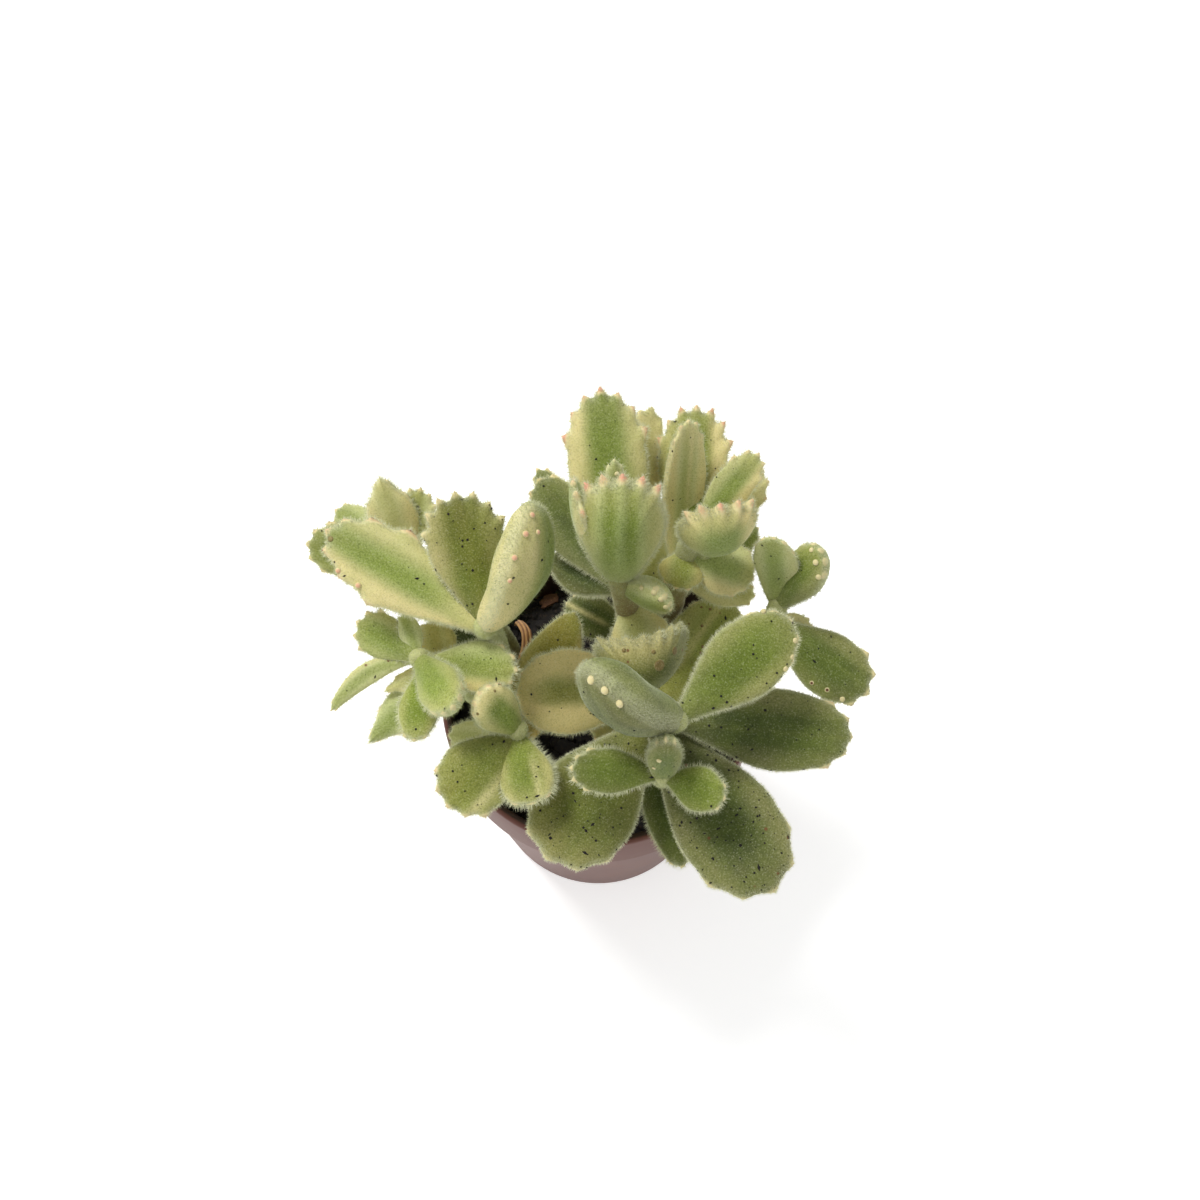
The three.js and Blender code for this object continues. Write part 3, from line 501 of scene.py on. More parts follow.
def add_leaf(skin, seat, leaf, cell, columns, rng):
    """A leaf from its seat on the stem to its tip. Its margin is an outline about its fullest place, the two
    faces are half ellipses over it, and the claws are pushed out of the margin. Furrows run lengthwise on
    the under side and a slow ripple on both."""
    _, tip, width, turn, kind_name, look_name, light = leaf[:7]
    kind, look = {**USUAL_KIND, **KINDS[kind_name]}, {**PLAIN, **LOOKS[look_name]}
    # A leaf's light value paints how its place is lit over its own tone: above 0 it pales the leaf as
    # painted light, past 1 it also creams it as a painted highlight, and below 0 it darkens it as painted
    # shade.
    look["deep"] = look["deep"] * (1 - min(max(light, 0), 1)) + max(-light, 0)
    look["pale"] += max(light, 0)
    tip = np.array(tip, float)
    along = unit(tip - seat)
    base = seat - ROOT_SINK * along
    length = np.linalg.norm(tip - base)
    face_on = unit(FRONT_AND_ABOVE - (FRONT_AND_ABOVE @ along) * along)
    angle = math.radians(turn)
    face = face_on * math.cos(angle) + np.cross(along, face_on) * math.sin(angle)
    across = np.cross(along, face)

    degrees = margin_angles(kind)
    share = (1 + np.cos(np.radians(degrees))) / 2
    blade = length - TIP_CLAW_SHARE * kind["tooth"]
    middle = LEAF_MIDDLE * blade
    fullest = half_width(np.linspace(0, 1, 101), kind).max()
    sides = np.sign(np.sin(np.radians(degrees)).round(9))
    out = np.stack([sides * width / 2 * half_width(share, kind) / fullest, share * blade - middle], -1)
    last_claw = kind["teeth"] // 2
    number = np.clip(np.round(degrees / kind["spread"]), -last_claw, last_claw)
    away = np.abs(degrees - number * kind["spread"]) / (CLAW_SHARE * kind["spread"])
    claw = np.clip(1 - away, 0, 1)
    claw_size, claw_pink, claw_brown = (
        rng.uniform(low, high, kind["teeth"])[(number + last_claw).astype(int)] for low, high in CLAW_RANGES
    )

    size = np.concatenate([RING_SIZES, [1], RING_SIZES[::-1]])[:, None]
    facing = np.repeat([1, 0, -1], [len(RING_SIZES), 1, len(RING_SIZES)])[:, None]
    claw_reach = kind["tooth"] * claw * claw_size * size ** CLAW_FADE
    reach = out * size[..., None] + unit(out) * claw_reach[..., None]
    x, y = reach[..., 0], middle + reach[..., 1]
    phases = rng.uniform(0, 2 * np.pi, 6)

    def furrow(side, share):
        """1 in the lengthwise furrows and 0 between them, fading out towards the foot."""
        return (0.5 + 0.5 * np.cos(FURROW_PACE * side + phases[2])) * smoothstep(0.15, 0.6, share)

    def body(x, y, size, facing):
        """Points at x across and y along, lifted by the half ellipse, the ripple and the furrows."""
        share = np.clip(y / length, 0, 1)
        side = x / (width / 2)
        dome = np.sqrt(np.maximum(0, 1 - size * size))
        lift = kind["thick"] * width * np.where(facing > 0, UPPER_SHARE, UPPER_SHARE - 1) * dome
        ripple = RIPPLE * width * (
            np.sin(7 * share + 2 * side + phases[0]) + np.sin(11 * share - 4 * side + phases[1])
        )
        lift = lift + dome * (ripple - np.sign(facing) * look["groove"] * furrow(side, share))
        arc = 4 * share * (1 - share)
        rise = kind["cup"] * side ** 2 * (width / 2) * np.minimum(1, 1.6 * share)
        return (
            base
            + (x + kind["swing"] * length * arc)[..., None] * across
            + y[..., None] * along
            + (rise - kind["bow"] * length * arc + lift)[..., None] * face
        )

    rings = body(x, y, size, facing).reshape(-1, 3)
    poles = body(np.zeros(2), np.full(2, middle), np.zeros(2), np.array([1, -1]))
    points = np.concatenate([rings, poles])

    x, y = np.append(x.ravel(), [0, 0]), np.append(y.ravel(), [middle, middle])
    ring_size, size = size, np.append(np.broadcast_to(size, reach.shape[:2]).ravel(), [0, 0])
    under = np.append(np.broadcast_to((1 - facing) / 2, reach.shape[:2]).ravel(), [0, 1])
    inside = (1 - ring_size) * np.linalg.norm(out, axis=1)
    beyond = claw * claw_size * ring_size ** CLAW_FADE - inside / kind["tooth"]
    spread_claw = np.append(np.clip(beyond, 0, 1).ravel(), [0, 0])
    spread_pink, spread_brown = (
        np.append(np.broadcast_to(values, reach.shape[:2]).ravel(), [0, 0])
        for values in (claw_pink, claw_brown)
    )
    side, share = x / (width / 2), np.clip(y / length, 0, 1)
    cream = (
        look["left"] * smoothstep(look["band"], look["band"] + 0.6, -side)
        + look["right"] * smoothstep(look["band"], look["band"] + 0.6, side)
        + look["tip"] * smoothstep(0.7, 1.0, share)
        + look["foot"] * (1 - smoothstep(0.05, 0.45, share))
        + max(look["belly"], 0) * under
        # past 1 the light value creams the whole leaf, a painted highlight
        + max(light - 1, 0)
    )
    crease = np.exp(-((side - look["ridge_at"]) / RIDGE_WIDTH) ** 2) * smoothstep(0.3, 0.6, share)
    marks = dict(
        deep=look["deep"] + 0.12 * np.sin(3 * share + phases[3]),
        gold=look["gold"] * (0.75 + 0.25 * np.sin(5 * share + 2 * side + phases[4])),
        pale=look["pale"] * (0.35 + 0.65 * smoothstep(0.1, 0.65, np.abs(side))),
        cream=np.clip(cream, 0, 1),
        rich=look["rich"],
        under=mix(look["frost"], 1 + min(look["belly"], 0), under),
        rim=smoothstep(0.9, 1.0, size) * min(1, 0.4 / kind["thick"]),
        claw=spread_claw * look["claws"],
        blush=look["blush"] * spread_pink,
        burnt=look["burnt"] * spread_brown,
        rust=look["rust"],
        hoar=look["hoar"],
        ridge=look["ridge"] * crease,
        furrow=np.clip(look["groove"] * 2.5 * furrow(side, share), 0, 1),
        streak=np.sin(FURROW_PACE * side + phases[5]) * 0.5 + np.sin(STREAK_PACE * side + phases[0]) * 0.3,
        grit=look["grit"] * (1 - under),
        fuzz=look["fuzz"],
    )
    triangles, corners = ringed(2 * len(RING_SIZES) + 1, len(degrees))
    skin.add(points, triangles, in_cell(corners, cell, columns), along, marks)

    margin_turn, margin_reach = np.arctan2(out[:, 0], out[:, 1]), np.linalg.norm(out, axis=1)
    for side, share, way_up, radius, tone in leaf[7:]:
        x, y = side * width / 2 + np.array([0, 0.1, 0]), share * length + np.array([0, 0, 0.1])
        reach = np.interp(np.arctan2(x, y - middle), margin_turn, margin_reach)
        size = np.minimum(np.hypot(x, y - middle) / reach, 0.98)
        seat, over, on = body(x, y, size, np.full(3, way_up))
        up = unit(np.cross(over - seat, on - seat)) * way_up
        add_bump(skin, seat, up, radius, TONES[tone], look, columns)


# A bump's height as a share of its radius, and how far it is pink, brown at the top and brown all over.
TONES = {
    "cream": (0.68, 0.0, 0.0, 0.0), "pink": (0.95, 0.8, 0.0, 0.0), "ring": (0.4, 0.0, 1.0, 0.0),
    "brown": (0.5, 0.3, 1.0, 1.0), "scar": (0.12, 0.0, 0.0, 1.0),
}
BUMPS_A_CELL = 5
BUMP_SIDES = 12
BUMP_RINGS = 6


def add_bump(skin, seat, up, radius, tone, look, columns):
    """A claw on the face of a leaf, or a scar: a quarter ellipse turned round the leaf's normal."""
    height, pink, tip_brown, all_brown = tone
    side = unit(np.cross(up, [0.3, 0.5, 0.8]))
    other = np.cross(up, side)
    lean = np.linspace(-0.4, np.pi / 2, BUMP_RINGS + 1)[:-1]
    rise = np.sin(lean)[:, None, None] * height * radius * up
    rings = seat + radius * np.cos(lean)[:, None, None] * spokes(side, other, turns(BUMP_SIDES)) + rise
    poles = np.stack([seat - 0.5 * height * radius * up, seat + height * radius * up])
    over = np.append(np.repeat(np.clip(np.sin(lean), 0, 1), BUMP_SIDES), [0, 1])
    marks = dict(
        deep=look["deep"], gold=look["gold"], pale=look["pale"], cream=0.5, rich=0.3, hoar=look["hoar"],
        claw=over * (1 - all_brown), blush=pink * over, burnt=tip_brown,
        woody=all_brown * smoothstep(0, 0.3, over),
    )
    triangles, corners = ringed(BUMP_RINGS, BUMP_SIDES)
    number = skin.bump_count
    skin.bump_count += 1
    places = in_cell(in_cell(corners, number % BUMPS_A_CELL ** 2, BUMPS_A_CELL), columns ** 2 - 1, columns)
    skin.add(np.concatenate([rings.reshape(-1, 3), poles]), triangles, places, up, marks)


# Steps round and along a stem, how far it goes into the soil in mm, and its rings there and in its end.
STEM_SIDES = 20
STEM_STEPS = 30
STEM_ROOT = 7
ROOT_RINGS = 4
DOME_RINGS = 5


def shoot_place(shoot, t):
    """The point at t on the shoot's quadratic Bezier curve."""
    foot, bend, top = (np.array(shoot[key], float) for key in ("foot", "bend", "top"))
    t = np.asarray(t, float)[..., None]
    return (1 - t) ** 2 * foot + 2 * t * (1 - t) * bend + t * t * top


def add_shoot(skin, shoot, rooted, cell, columns, rng):
    """A stem along its Bezier curve: round rings whose radius runs from foot to top, with knobbly swellings
    along it and a domed end. A rooted one goes on straight down into the soil."""
    t = np.linspace(0, 1, STEM_STEPS)
    path = shoot_place(shoot, t)
    radius = mix(shoot["radii"][0], shoot["radii"][1], t)
    age = 1 - t
    if rooted:
        sunk = np.linspace(-STEM_ROOT, -1, ROOT_RINGS)[:, None] * [0, 0, 1] + path[0]
        path = np.concatenate([sunk, path])
        radius = np.concatenate([np.full(ROOT_RINGS, radius[0]), radius])
        age = np.concatenate([np.ones(ROOT_RINGS), age])
    dome = np.linspace(0, np.pi / 2, DOME_RINGS + 2)[1:-1]
    ahead = unit(path[-1] - path[-2])
    path = np.concatenate([path, path[-1] + np.sin(dome)[:, None] * shoot["radii"][1] * ahead])
    radius = np.concatenate([radius, np.cos(dome) * shoot["radii"][1]])
    age = np.concatenate([age, np.zeros(DOME_RINGS)])
    ways = unit(np.gradient(path, axis=0))
    side = unit(np.array([1, 0, 0]) - ways[:, :1] * ways)
    other = np.cross(ways, side)
    turn = turns(STEM_SIDES)
    distance = np.concatenate([[0], np.cumsum(np.linalg.norm(np.diff(path, axis=0), axis=1))])
    phases = rng.uniform(0, 2 * np.pi, 3)
    knobs = 1 + 0.05 * np.sin(distance[:, None] * 1.5 + 2 * turn + phases[0]) + 0.03 * np.sin(
        distance[:, None] * 2.9 - 3 * turn + phases[1]
    )
    rings = path[:, None] + (radius[:, None] * knobs)[..., None] * spokes(side, other, turn)
    ends = np.stack([path[0], path[-1] + 0.15 * shoot["radii"][1] * ahead])
    age = np.append(np.repeat(age, STEM_SIDES), [1, 0])
    bark = shoot.get("woody", 0.45)
    marks = dict(
        # A shoot's deep is also painted shade on shoots that sit in shade, and painted light where it is set
        # lower.
        deep=shoot.get("deep", 0.25), gold=0.25 * age, pale=0.35 * (1 - age), cream=0.25 * (1 - age),
        rich=0.5, under=0.6, rim=0.35, hoar=0.7, woody=smoothstep(bark, bark + 0.5, age),
        fuzz=0.8 - 0.5 * age,
    )
    triangles, corners = ringed(len(path), STEM_SIDES)
    points = np.concatenate([rings.reshape(-1, 3), ends])
    way = np.append(np.repeat(ways, STEM_SIDES, 0), ways[[0, -1]], 0)
    skin.add(points, triangles, in_cell(corners, cell, columns), way, marks)


def leafy_skin(shoots, rng):
    """One leafy stem: its shoots and all their leaves."""
    skin = Skin()
    surfaces = sum(1 + len(shoot["leaves"]) for shoot in shoots)
    columns = math.ceil(math.sqrt(surfaces + 1))
    cell = 0
    for number, shoot in enumerate(shoots):
        add_shoot(skin, shoot, number == 0, cell, columns, rng)
        cell += 1
        for leaf in shoot["leaves"]:
            add_leaf(skin, shoot_place(shoot, leaf[0]), leaf, cell, columns, rng)
            cell += 1
    return skin.join()


# ---------------------------------------------------------------- hairs and grains

# Hairs a square millimetre on a face and on a margin, their radii, lengths and sink in mm, how far they
# lean towards the tip and scatter, and the share of them that old bark keeps. A grit of 100 gives
# GRAINS_A_MARK grains a square millimetre.
FACE_HAIRS = 1.75
RIM_HAIRS = 21.0
FACE_HAIR_RADIUS = 0.03
RIM_HAIR_RADIUS = 0.038
FACE_HAIR_LENGTH = 0.45
RIM_HAIR_LENGTH = 0.8
HAIR_SINK = 0.05
HAIR_LEAN = 0.2
HAIR_SCATTER = 0.17
HAIRS_ON_BARK = 0.3
GRAINS_A_MARK = 1.5
GRAIN_LIFT = 0.07


def scattered(skin, density, rng):
    """Random places on a skin, so many a square millimetre as density says at each point: for each place the
    weights of its triangle's corners and the triangle."""
    a, b, c = triangle_corners(skin.points, skin.triangles)
    area = np.linalg.norm(np.cross(b - a, c - a), axis=1) / 2
    expected = np.cumsum(area * density[skin.triangles].mean(1))
    count = int(expected[-1])
    chosen = np.searchsorted(expected, np.sort(rng.uniform(0, expected[-1], count)))
    u, v = np.sqrt(rng.random(count)), rng.random(count)
    weights = np.stack([1 - u, u * (1 - v), u * v], -1)
    return weights, skin.triangles[np.minimum(chosen, len(skin.triangles) - 1)]


def point_normals(points, triangles):
    """The unit sum of the area vectors of the triangles round each point."""
    a, b, c = triangle_corners(points, triangles)
    area = np.cross(b - a, c - a)
    total = np.zeros_like(points)
    for k in range(3):
        np.add.at(total, triangles[:, k], area)
    return unit(total + 1e-12)


def at(values, weights, corners):
    """Values at the points of a skin, read at scattered places."""
    return np.einsum("ij,ij...->i...", weights, values[corners])


def copies(count, corners, faces):
    """The triangles of count small solids of so many corners each."""
    return (np.arange(count)[:, None, None] * corners + faces).reshape(-1, 3)


def hair_piece(name, skin, material, rng):
    """Short felt hairs all over a skin, longest and closest along the margins: each is a slim three-sided
    spike, sunk a little at its root and leaning towards the tip of the leaf."""
    rim, fuzz = skin.marks["rim"], skin.marks["fuzz"]
    thinned = np.where(skin.marks["woody"] > 0.6, HAIRS_ON_BARK, 1)
    weights, corners = scattered(skin, mix(FACE_HAIRS, RIM_HAIRS, rim) * thinned, rng)
    count = len(weights)
    root = at(skin.points, weights, corners)
    normal = unit(at(point_normals(skin.points, skin.triangles), weights, corners))
    way = at(skin.ways, weights, corners)
    edge = at(rim, weights, corners)
    length = mix(FACE_HAIR_LENGTH, RIM_HAIR_LENGTH, edge) * at(fuzz, weights, corners)
    length = length * rng.uniform(0.55, 1.35, count)
    lean = unit(normal + HAIR_LEAN * way + rng.normal(0, HAIR_SCATTER, (count, 3)))
    side = unit(np.cross(lean, rng.normal(0, 1, (count, 3))))
    other = np.cross(lean, side)
    radius = mix(FACE_HAIR_RADIUS, RIM_HAIR_RADIUS, edge) * rng.uniform(0.8, 1.2, count)
    foot = (root - HAIR_SINK * normal)[:, None] + radius[:, None, None] * spokes(side, other, turns(3))
    points = np.concatenate([foot, (root + lean * length[:, None])[:, None]], 1).reshape(-1, 3)
    triangles = copies(count, 4, np.array([[0, 1, 3], [1, 2, 3], [2, 0, 3], [0, 2, 1]]))
    columns = math.ceil(math.sqrt(count))
    cell = np.array([
        [[0.1, 0.25], [0.5, 0.25], [0.5, 0.9]], [[0.5, 0.25], [0.9, 0.25], [0.5, 0.9]],
        [[0.1, 0.25], [0.9, 0.25], [0.5, 0.9]], [[0.1, 0.05], [0.9, 0.05], [0.5, 0.2]],
    ])
    low = np.stack([np.arange(count) % columns, np.arange(count) // columns], -1)
    places = ((low[:, None, None] + cell) / columns).reshape(-1, 3, 2)
    marks = dict(
        reach=np.tile([0, 0, 0, 1.0], count),
        pale=np.repeat(mix(rng.uniform(0.0, 0.18, count), 1, np.sqrt(edge)), 4),
        deep=np.repeat(np.clip(at(skin.marks["deep"], weights, corners), 0, 1), 4),
    )
    mesh_piece(name, points, triangles, material, places, marks, smooth=False)


OCTAHEDRON = np.array([[1, 0, 0], [0, 1, 0], [-1, 0, 0], [0, -1, 0], [0, 0, 1], [0, 0, -1.0]])
OCTAHEDRON_FACES = np.array([
    [0, 1, 4], [1, 2, 4], [2, 3, 4], [3, 0, 4], [1, 0, 5], [2, 1, 5], [3, 2, 5], [0, 3, 5],
])


def grit_piece(name, skins, material, rng):
    """Grains of soil that lie on the leaves: flattened lumps, a few of them long."""
    parts = []
    for skin in skins:
        weights, corners = scattered(skin, skin.marks["grit"] / 100 * GRAINS_A_MARK, rng)
        count = len(weights)
        root = at(skin.points, weights, corners)
        normal = unit(at(point_normals(skin.points, skin.triangles), weights, corners))
        side = unit(np.cross(normal, rng.normal(0, 1, (count, 3))))
        other = np.cross(normal, side)
        size = 0.09 + 0.19 * rng.random(count) ** 2
        is_long = rng.random(count) < 0.1
        longer = np.where(is_long, rng.uniform(1.6, 3.0, count), rng.uniform(0.9, 1.4, count))
        lump = OCTAHEDRON * rng.uniform(0.75, 1.25, (count, 6, 1))
        parts.append(
            (root + GRAIN_LIFT * normal)[:, None]
            + lump[..., :1] * (size * longer)[:, None, None] * side[:, None]
            + lump[..., 1:2] * size[:, None, None] * other[:, None]
            + lump[..., 2:] * 0.6 * size[:, None, None] * normal[:, None]
        )
    points = np.concatenate(parts)
    triangles = copies(len(points), 6, OCTAHEDRON_FACES)
    mesh_piece(name, points.reshape(-1, 3), triangles, material, smooth=False)


# ---------------------------------------------------------------- materials


def paint(red, green, blue):
    """A linear colour from display values out of 255."""
    display = np.array([red, green, blue]) / 255
    linear = np.where(display <= 0.04045, display / 12.92, ((display + 0.055) / 1.055) ** 2.4)
    return (*linear.tolist(), 1.0)


class Value:
    """A number in a node tree. Operators on it add Math nodes."""

    def __init__(self, tree, socket):
        self.tree, self.socket = tree, socket

    def maths(self, operation, *operands, clamp=False):
        settings = {"operation": operation, "use_clamp": clamp}
        return self.tree.add("ShaderNodeMath", settings, dict(enumerate(operands)))["Value"]

    def __add__(self, other):
        return self.maths("ADD", self, other)

    __radd__ = __add__

    def __sub__(self, other):
        return self.maths("SUBTRACT", self, other)

    def __rsub__(self, other):
        return self.maths("SUBTRACT", other, self)

    def __mul__(self, other):
        return self.maths("MULTIPLY", self, other)

    __rmul__ = __mul__

    def __pow__(self, other):
        return self.maths("POWER", self, other)

    def clamp(self):
        return self.maths("ADD", self, 0, clamp=True)

    def ramp(self, start, end, low=0.0, high=1.0):
        """low before start, high after end, smooth between."""
        settings = {"interpolation_type": "SMOOTHSTEP"}
        inputs = {"Value": self, "From Min": start, "From Max": end, "To Min": low, "To Max": high}
        return self.tree.add("ShaderNodeMapRange", settings, inputs)["Result"]


class Outputs:
    """A node's outputs by name, each as a Value."""

    def __init__(self, tree, node):
        self.tree, self.node = tree, node

    def __getitem__(self, name):
        found = next(s for s in self.node.outputs if s.enabled and s.name == name)
        return Value(self.tree, found)


class Tree:
    """One material's nodes. add() makes any node from its type, its settings and what its sockets hold."""

    def __init__(self, name):
        self.material = bpy.data.materials.new(name)
        self.material.use_nodes = True
        self.nodes, self.links = self.material.node_tree.nodes, self.material.node_tree.links
        self.shader = next(node for node in self.nodes if node.type == "BSDF_PRINCIPLED")

    def add(self, kind, settings=None, inputs=None):
        node = self.nodes.new(kind)
        for key, setting in (settings or {}).items():
            setattr(node, key, setting)
        for key, held in (inputs or {}).items():
            self.feed(node, key, held)
        return Outputs(self, node)

    def feed(self, node, key, held):
        enabled = [s for s in node.inputs if s.enabled]
        socket = node.inputs[key] if isinstance(key, int) else next(s for s in enabled if s.name == key)
        if isinstance(held, Value):
            self.links.new(held.socket, socket)
        else:
            socket.default_value = held

    def place(self):
        return self.add("ShaderNodeTexCoord")["Object"]

    def mark(self, name):
        return self.add("ShaderNodeAttribute", {"attribute_name": name})["Fac"]

    def noise(self, scale, detail=2.0, roughness=0.5, vector=None):
        inputs = {"Vector": vector or self.place(), "Scale": scale, "Detail": detail, "Roughness": roughness}
        return self.add("ShaderNodeTexNoise", None, inputs)["Fac"]

    def stretched(self, scale):
        """Object places scaled by a different number along each axis."""
        inputs = {0: self.place(), 1: scale}
        return self.add("ShaderNodeVectorMath", {"operation": "MULTIPLY"}, inputs)["Vector"]

    def cells(self, scale, randomness=1.0):
        inputs = {"Vector": self.place(), "Scale": scale, "Randomness": randomness}
        return self.add("ShaderNodeTexVoronoi", None, inputs)

    def blend(self, a, b, factor, kind="MIX"):
        settings = {"data_type": "RGBA", "blend_type": kind}
        return self.add("ShaderNodeMix", settings, {"Factor": factor, "A": a, "B": b})["Result"]

    def bump(self, height, distance, strength=1.0, normal=None):
        inputs = {"Height": height, "Distance": distance, "Strength": strength}
        if normal is not None:
            inputs["Normal"] = normal
        return self.add("ShaderNodeBump", None, inputs)["Normal"]

    def finish(self, **inputs):
        """Feeds the shader's sockets, named with _ for a space, and returns the material."""
        for key, held in inputs.items():
            self.feed(self.shader, key.replace("_", " "), held)
        return self.material


FRESH_GREEN = paint(132, 150, 46)
DEEP_GREEN = paint(62, 74, 24)
PALE_GREEN = paint(198, 204, 146)
GREY_GREEN = paint(150, 164, 96)
YELLOWED = paint(168, 148, 58)
CREAM = paint(230, 218, 158)
GOLDEN = paint(232, 204, 126)
FELT_AND_SHEEN_WHITE = paint(226, 226, 192)
CLAW_WHITE = paint(224, 210, 158)
CLAW_PINK = paint(224, 160, 134)
CLAW_BROWN = paint(88, 42, 32)
RUST_BROWN = paint(112, 70, 38)
BARK = paint(128, 108, 62)


# Noise scales of the leaf skin, in waves a metre, and the heights of its bumps in metres.
PATCH_SCALE, MOTTLE_SCALE, FELT_SCALE, SPOT_SCALE = 170, 620, 3200, 480
MOTTLE_HEIGHT, FELT_HEIGHT = 0.00012, 0.00006


def leaf_skin_material():
    """Felted green skin: dark and fresh green by leaf, yellowing, cream margins, a grey under side, furrows,
    pink and brown claws, rust spots and a fine grain of felt. Over this lie painted light and shade from
    each leaf's light value, a painted sheen on the white margins and painted glints in the felt grain."""
    tree = Tree("leaf_skin")
    mark = {name: tree.mark(name) for name in SHADER_MARKS}
    patches = tree.noise(PATCH_SCALE, 3)
    mottle = tree.noise(MOTTLE_SCALE, 3, 0.6)
    felt = tree.noise(FELT_SCALE, 2, 0.7)
    depth = (mark["deep"] + (patches - 0.5) * 0.5 + (mottle - 0.5) * 0.3).clamp()
    green = tree.blend(FRESH_GREEN, DEEP_GREEN, depth)
    yellowed = (mark["gold"] * (0.55 + patches) + mark["streak"] * 0.05).clamp()
    colour = tree.blend(green, YELLOWED, yellowed * 0.85)
    colour = tree.blend(colour, PALE_GREEN, (mark["pale"] * (0.7 + 0.6 * patches)).clamp())
    grey = (mark["under"] * (0.35 + 0.45 * mark["hoar"]) + mark["streak"] * mark["hoar"] * 0.18).clamp()
    colour = tree.blend(colour, GREY_GREEN, grey)
    furrow_green = tree.blend(FRESH_GREEN, DEEP_GREEN, 0.3)
    colour = tree.blend(colour, furrow_green, (mark["furrow"] * (0.7 + 0.5 * mottle)).clamp())
    margin = tree.blend(CREAM, GOLDEN, mark["rich"])
    colour = tree.blend(colour, margin, (mark["cream"] * (0.6 + 0.7 * patches)).clamp() * 0.9)
    colour = tree.blend(colour, CREAM, mark["ridge"] * (0.5 + 0.7 * mottle))
    # Margins whitened by their felt and by a painted sheen, more on hoary leaves.
    colour = tree.blend(colour, FELT_AND_SHEEN_WHITE, mark["rim"] * mark["hoar"] * 0.6)
    colour = tree.blend(colour, BARK, mark["woody"] * (0.5 + 0.8 * mottle))
    # Fine felt grain: its light specks are painted glints of the hairs, its dark ones a darker green.
    speckled = tree.blend(colour, FELT_AND_SHEEN_WHITE, felt.ramp(0.52, 0.72) * 0.2)
    dim = 0.6 * (1 - 0.6 * (mark["cream"] + mark["pale"]).clamp())
    colour = tree.blend(speckled, tree.blend(colour, DEEP_GREEN, 0.75), felt.ramp(0.5, 0.36) * dim)
    colour = tree.blend(colour, CLAW_WHITE, mark["claw"].ramp(0.0, 0.3) * 0.9)
    colour = tree.blend(colour, CLAW_PINK, mark["claw"].ramp(0.2, 0.7) * mark["blush"].clamp())
    colour = tree.blend(colour, CLAW_BROWN, mark["claw"].ramp(0.6, 0.95) * mark["burnt"].ramp(0.35, 0.75))
    spots = tree.cells(SPOT_SCALE)
    chosen = tree.add("ShaderNodeSeparateColor", None, {"Color": spots["Color"]})["Red"]
    rust = spots["Distance"].ramp(0.2, 0.1) * (chosen - 1 + 0.5 * mark["rust"]).ramp(-0.02, 0.02)
    colour = tree.blend(colour, RUST_BROWN, rust * 0.85)
    normal = tree.bump(felt, FELT_HEIGHT, 0.5, tree.bump(mottle, MOTTLE_HEIGHT, 0.35))
    return tree.finish(
        Base_Color=colour, Roughness=0.62 + 0.2 * felt, Normal=normal,
        Sheen_Weight=0.4, Sheen_Roughness=0.4, Sheen_Tint=(0.93, 0.97, 0.72, 1), Specular_IOR_Level=0.3,
        Subsurface_Weight=0.12, Subsurface_Scale=0.0012, Subsurface_Radius=(0.8, 1.0, 0.3),
    )


def hair_material():
    """Pale hairs, greener at the root and whiter at the tip and on the margins."""
    tree = Tree("leaf_hair")
    reach, pale = tree.mark("reach"), tree.mark("pale")
    green = tree.blend(paint(142, 158, 72), paint(88, 102, 42), tree.mark("deep"))
    colour = tree.blend(green, FELT_AND_SHEEN_WHITE, (0.1 * reach + 0.9 * pale).clamp())
    return tree.finish(Base_Color=colour, Roughness=0.7, Specular_IOR_Level=0.2)


def grain_material(name, dark, light):
    """Damp peat: dark crumbs, some of them brown."""
    tree = Tree(name)
    colour = tree.blend(dark, light, tree.noise(900, 3, 0.7).ramp(0.5, 0.8) * 0.6)
    height = tree.noise(2400, 3, 0.7)
    normal = tree.bump(height, 0.0002, 0.7)
    return tree.finish(Base_Color=colour, Roughness=0.85 + 0.1 * height, Normal=normal)


def pot_material():
    """Moulded nursery plastic: an even brownish pink with fine scuffs, dust and dried water marks, and its
    inside painted dark as shade.
    """
    tree = Tree("pot_plastic")
    cloud = tree.noise(45, 4, 0.6)
    scuffs = tree.noise(1, 4, 0.75, tree.stretched((900, 900, 130)))
    dust = (cloud.ramp(0.5, 0.75) * 0.2 + scuffs.ramp(0.62, 0.8) * 0.25).clamp()
    colour = tree.blend(paint(90, 52, 43), paint(112, 70, 58), cloud)
    colour = tree.blend(colour, paint(158, 132, 120), dust)
    place = tree.add("ShaderNodeSeparateXYZ", None, {"Vector": tree.place()})
    radius = (place["X"] * place["X"] + place["Y"] * place["Y"]) ** 0.5
    slope = (wall_radius(POT_HEIGHT) - POT_BASE_RADIUS) / POT_HEIGHT
    # The inside of the pot is painted dark brown: painted shade.
    inside = (radius - slope * place["Z"]).ramp((POT_BASE_RADIUS - 1.1) * MM, (POT_BASE_RADIUS - 1.6) * MM)
    colour = tree.blend(colour, tree.blend(paint(40, 30, 26), paint(74, 54, 46), cloud), inside)
    normal = tree.bump(scuffs, 0.00004, 0.5, tree.bump(tree.noise(120, 2), 0.0003, 0.3))
    roughness = 0.48 + 0.3 * dust
    return tree.finish(Base_Color=colour, Roughness=roughness, Normal=normal, Specular_IOR_Level=0.22)


def dry_leaf_material():
    """Papery dried leaf: straw with darker lengthwise stripes."""
    tree = Tree("dry_leaf_paper")
    stripes = tree.mark("stripe") + (tree.noise(900, 3) - 0.5) * 0.8
    colour = tree.blend(paint(170, 126, 76), paint(118, 78, 44), stripes.ramp(0.1, 0.9))
    colour = tree.blend(colour, paint(60, 38, 20), tree.noise(260, 2).ramp(0.55, 0.75) * 0.7)
    return tree.finish(Base_Color=colour, Roughness=0.7, Normal=tree.bump(stripes, 0.0002, 0.6))


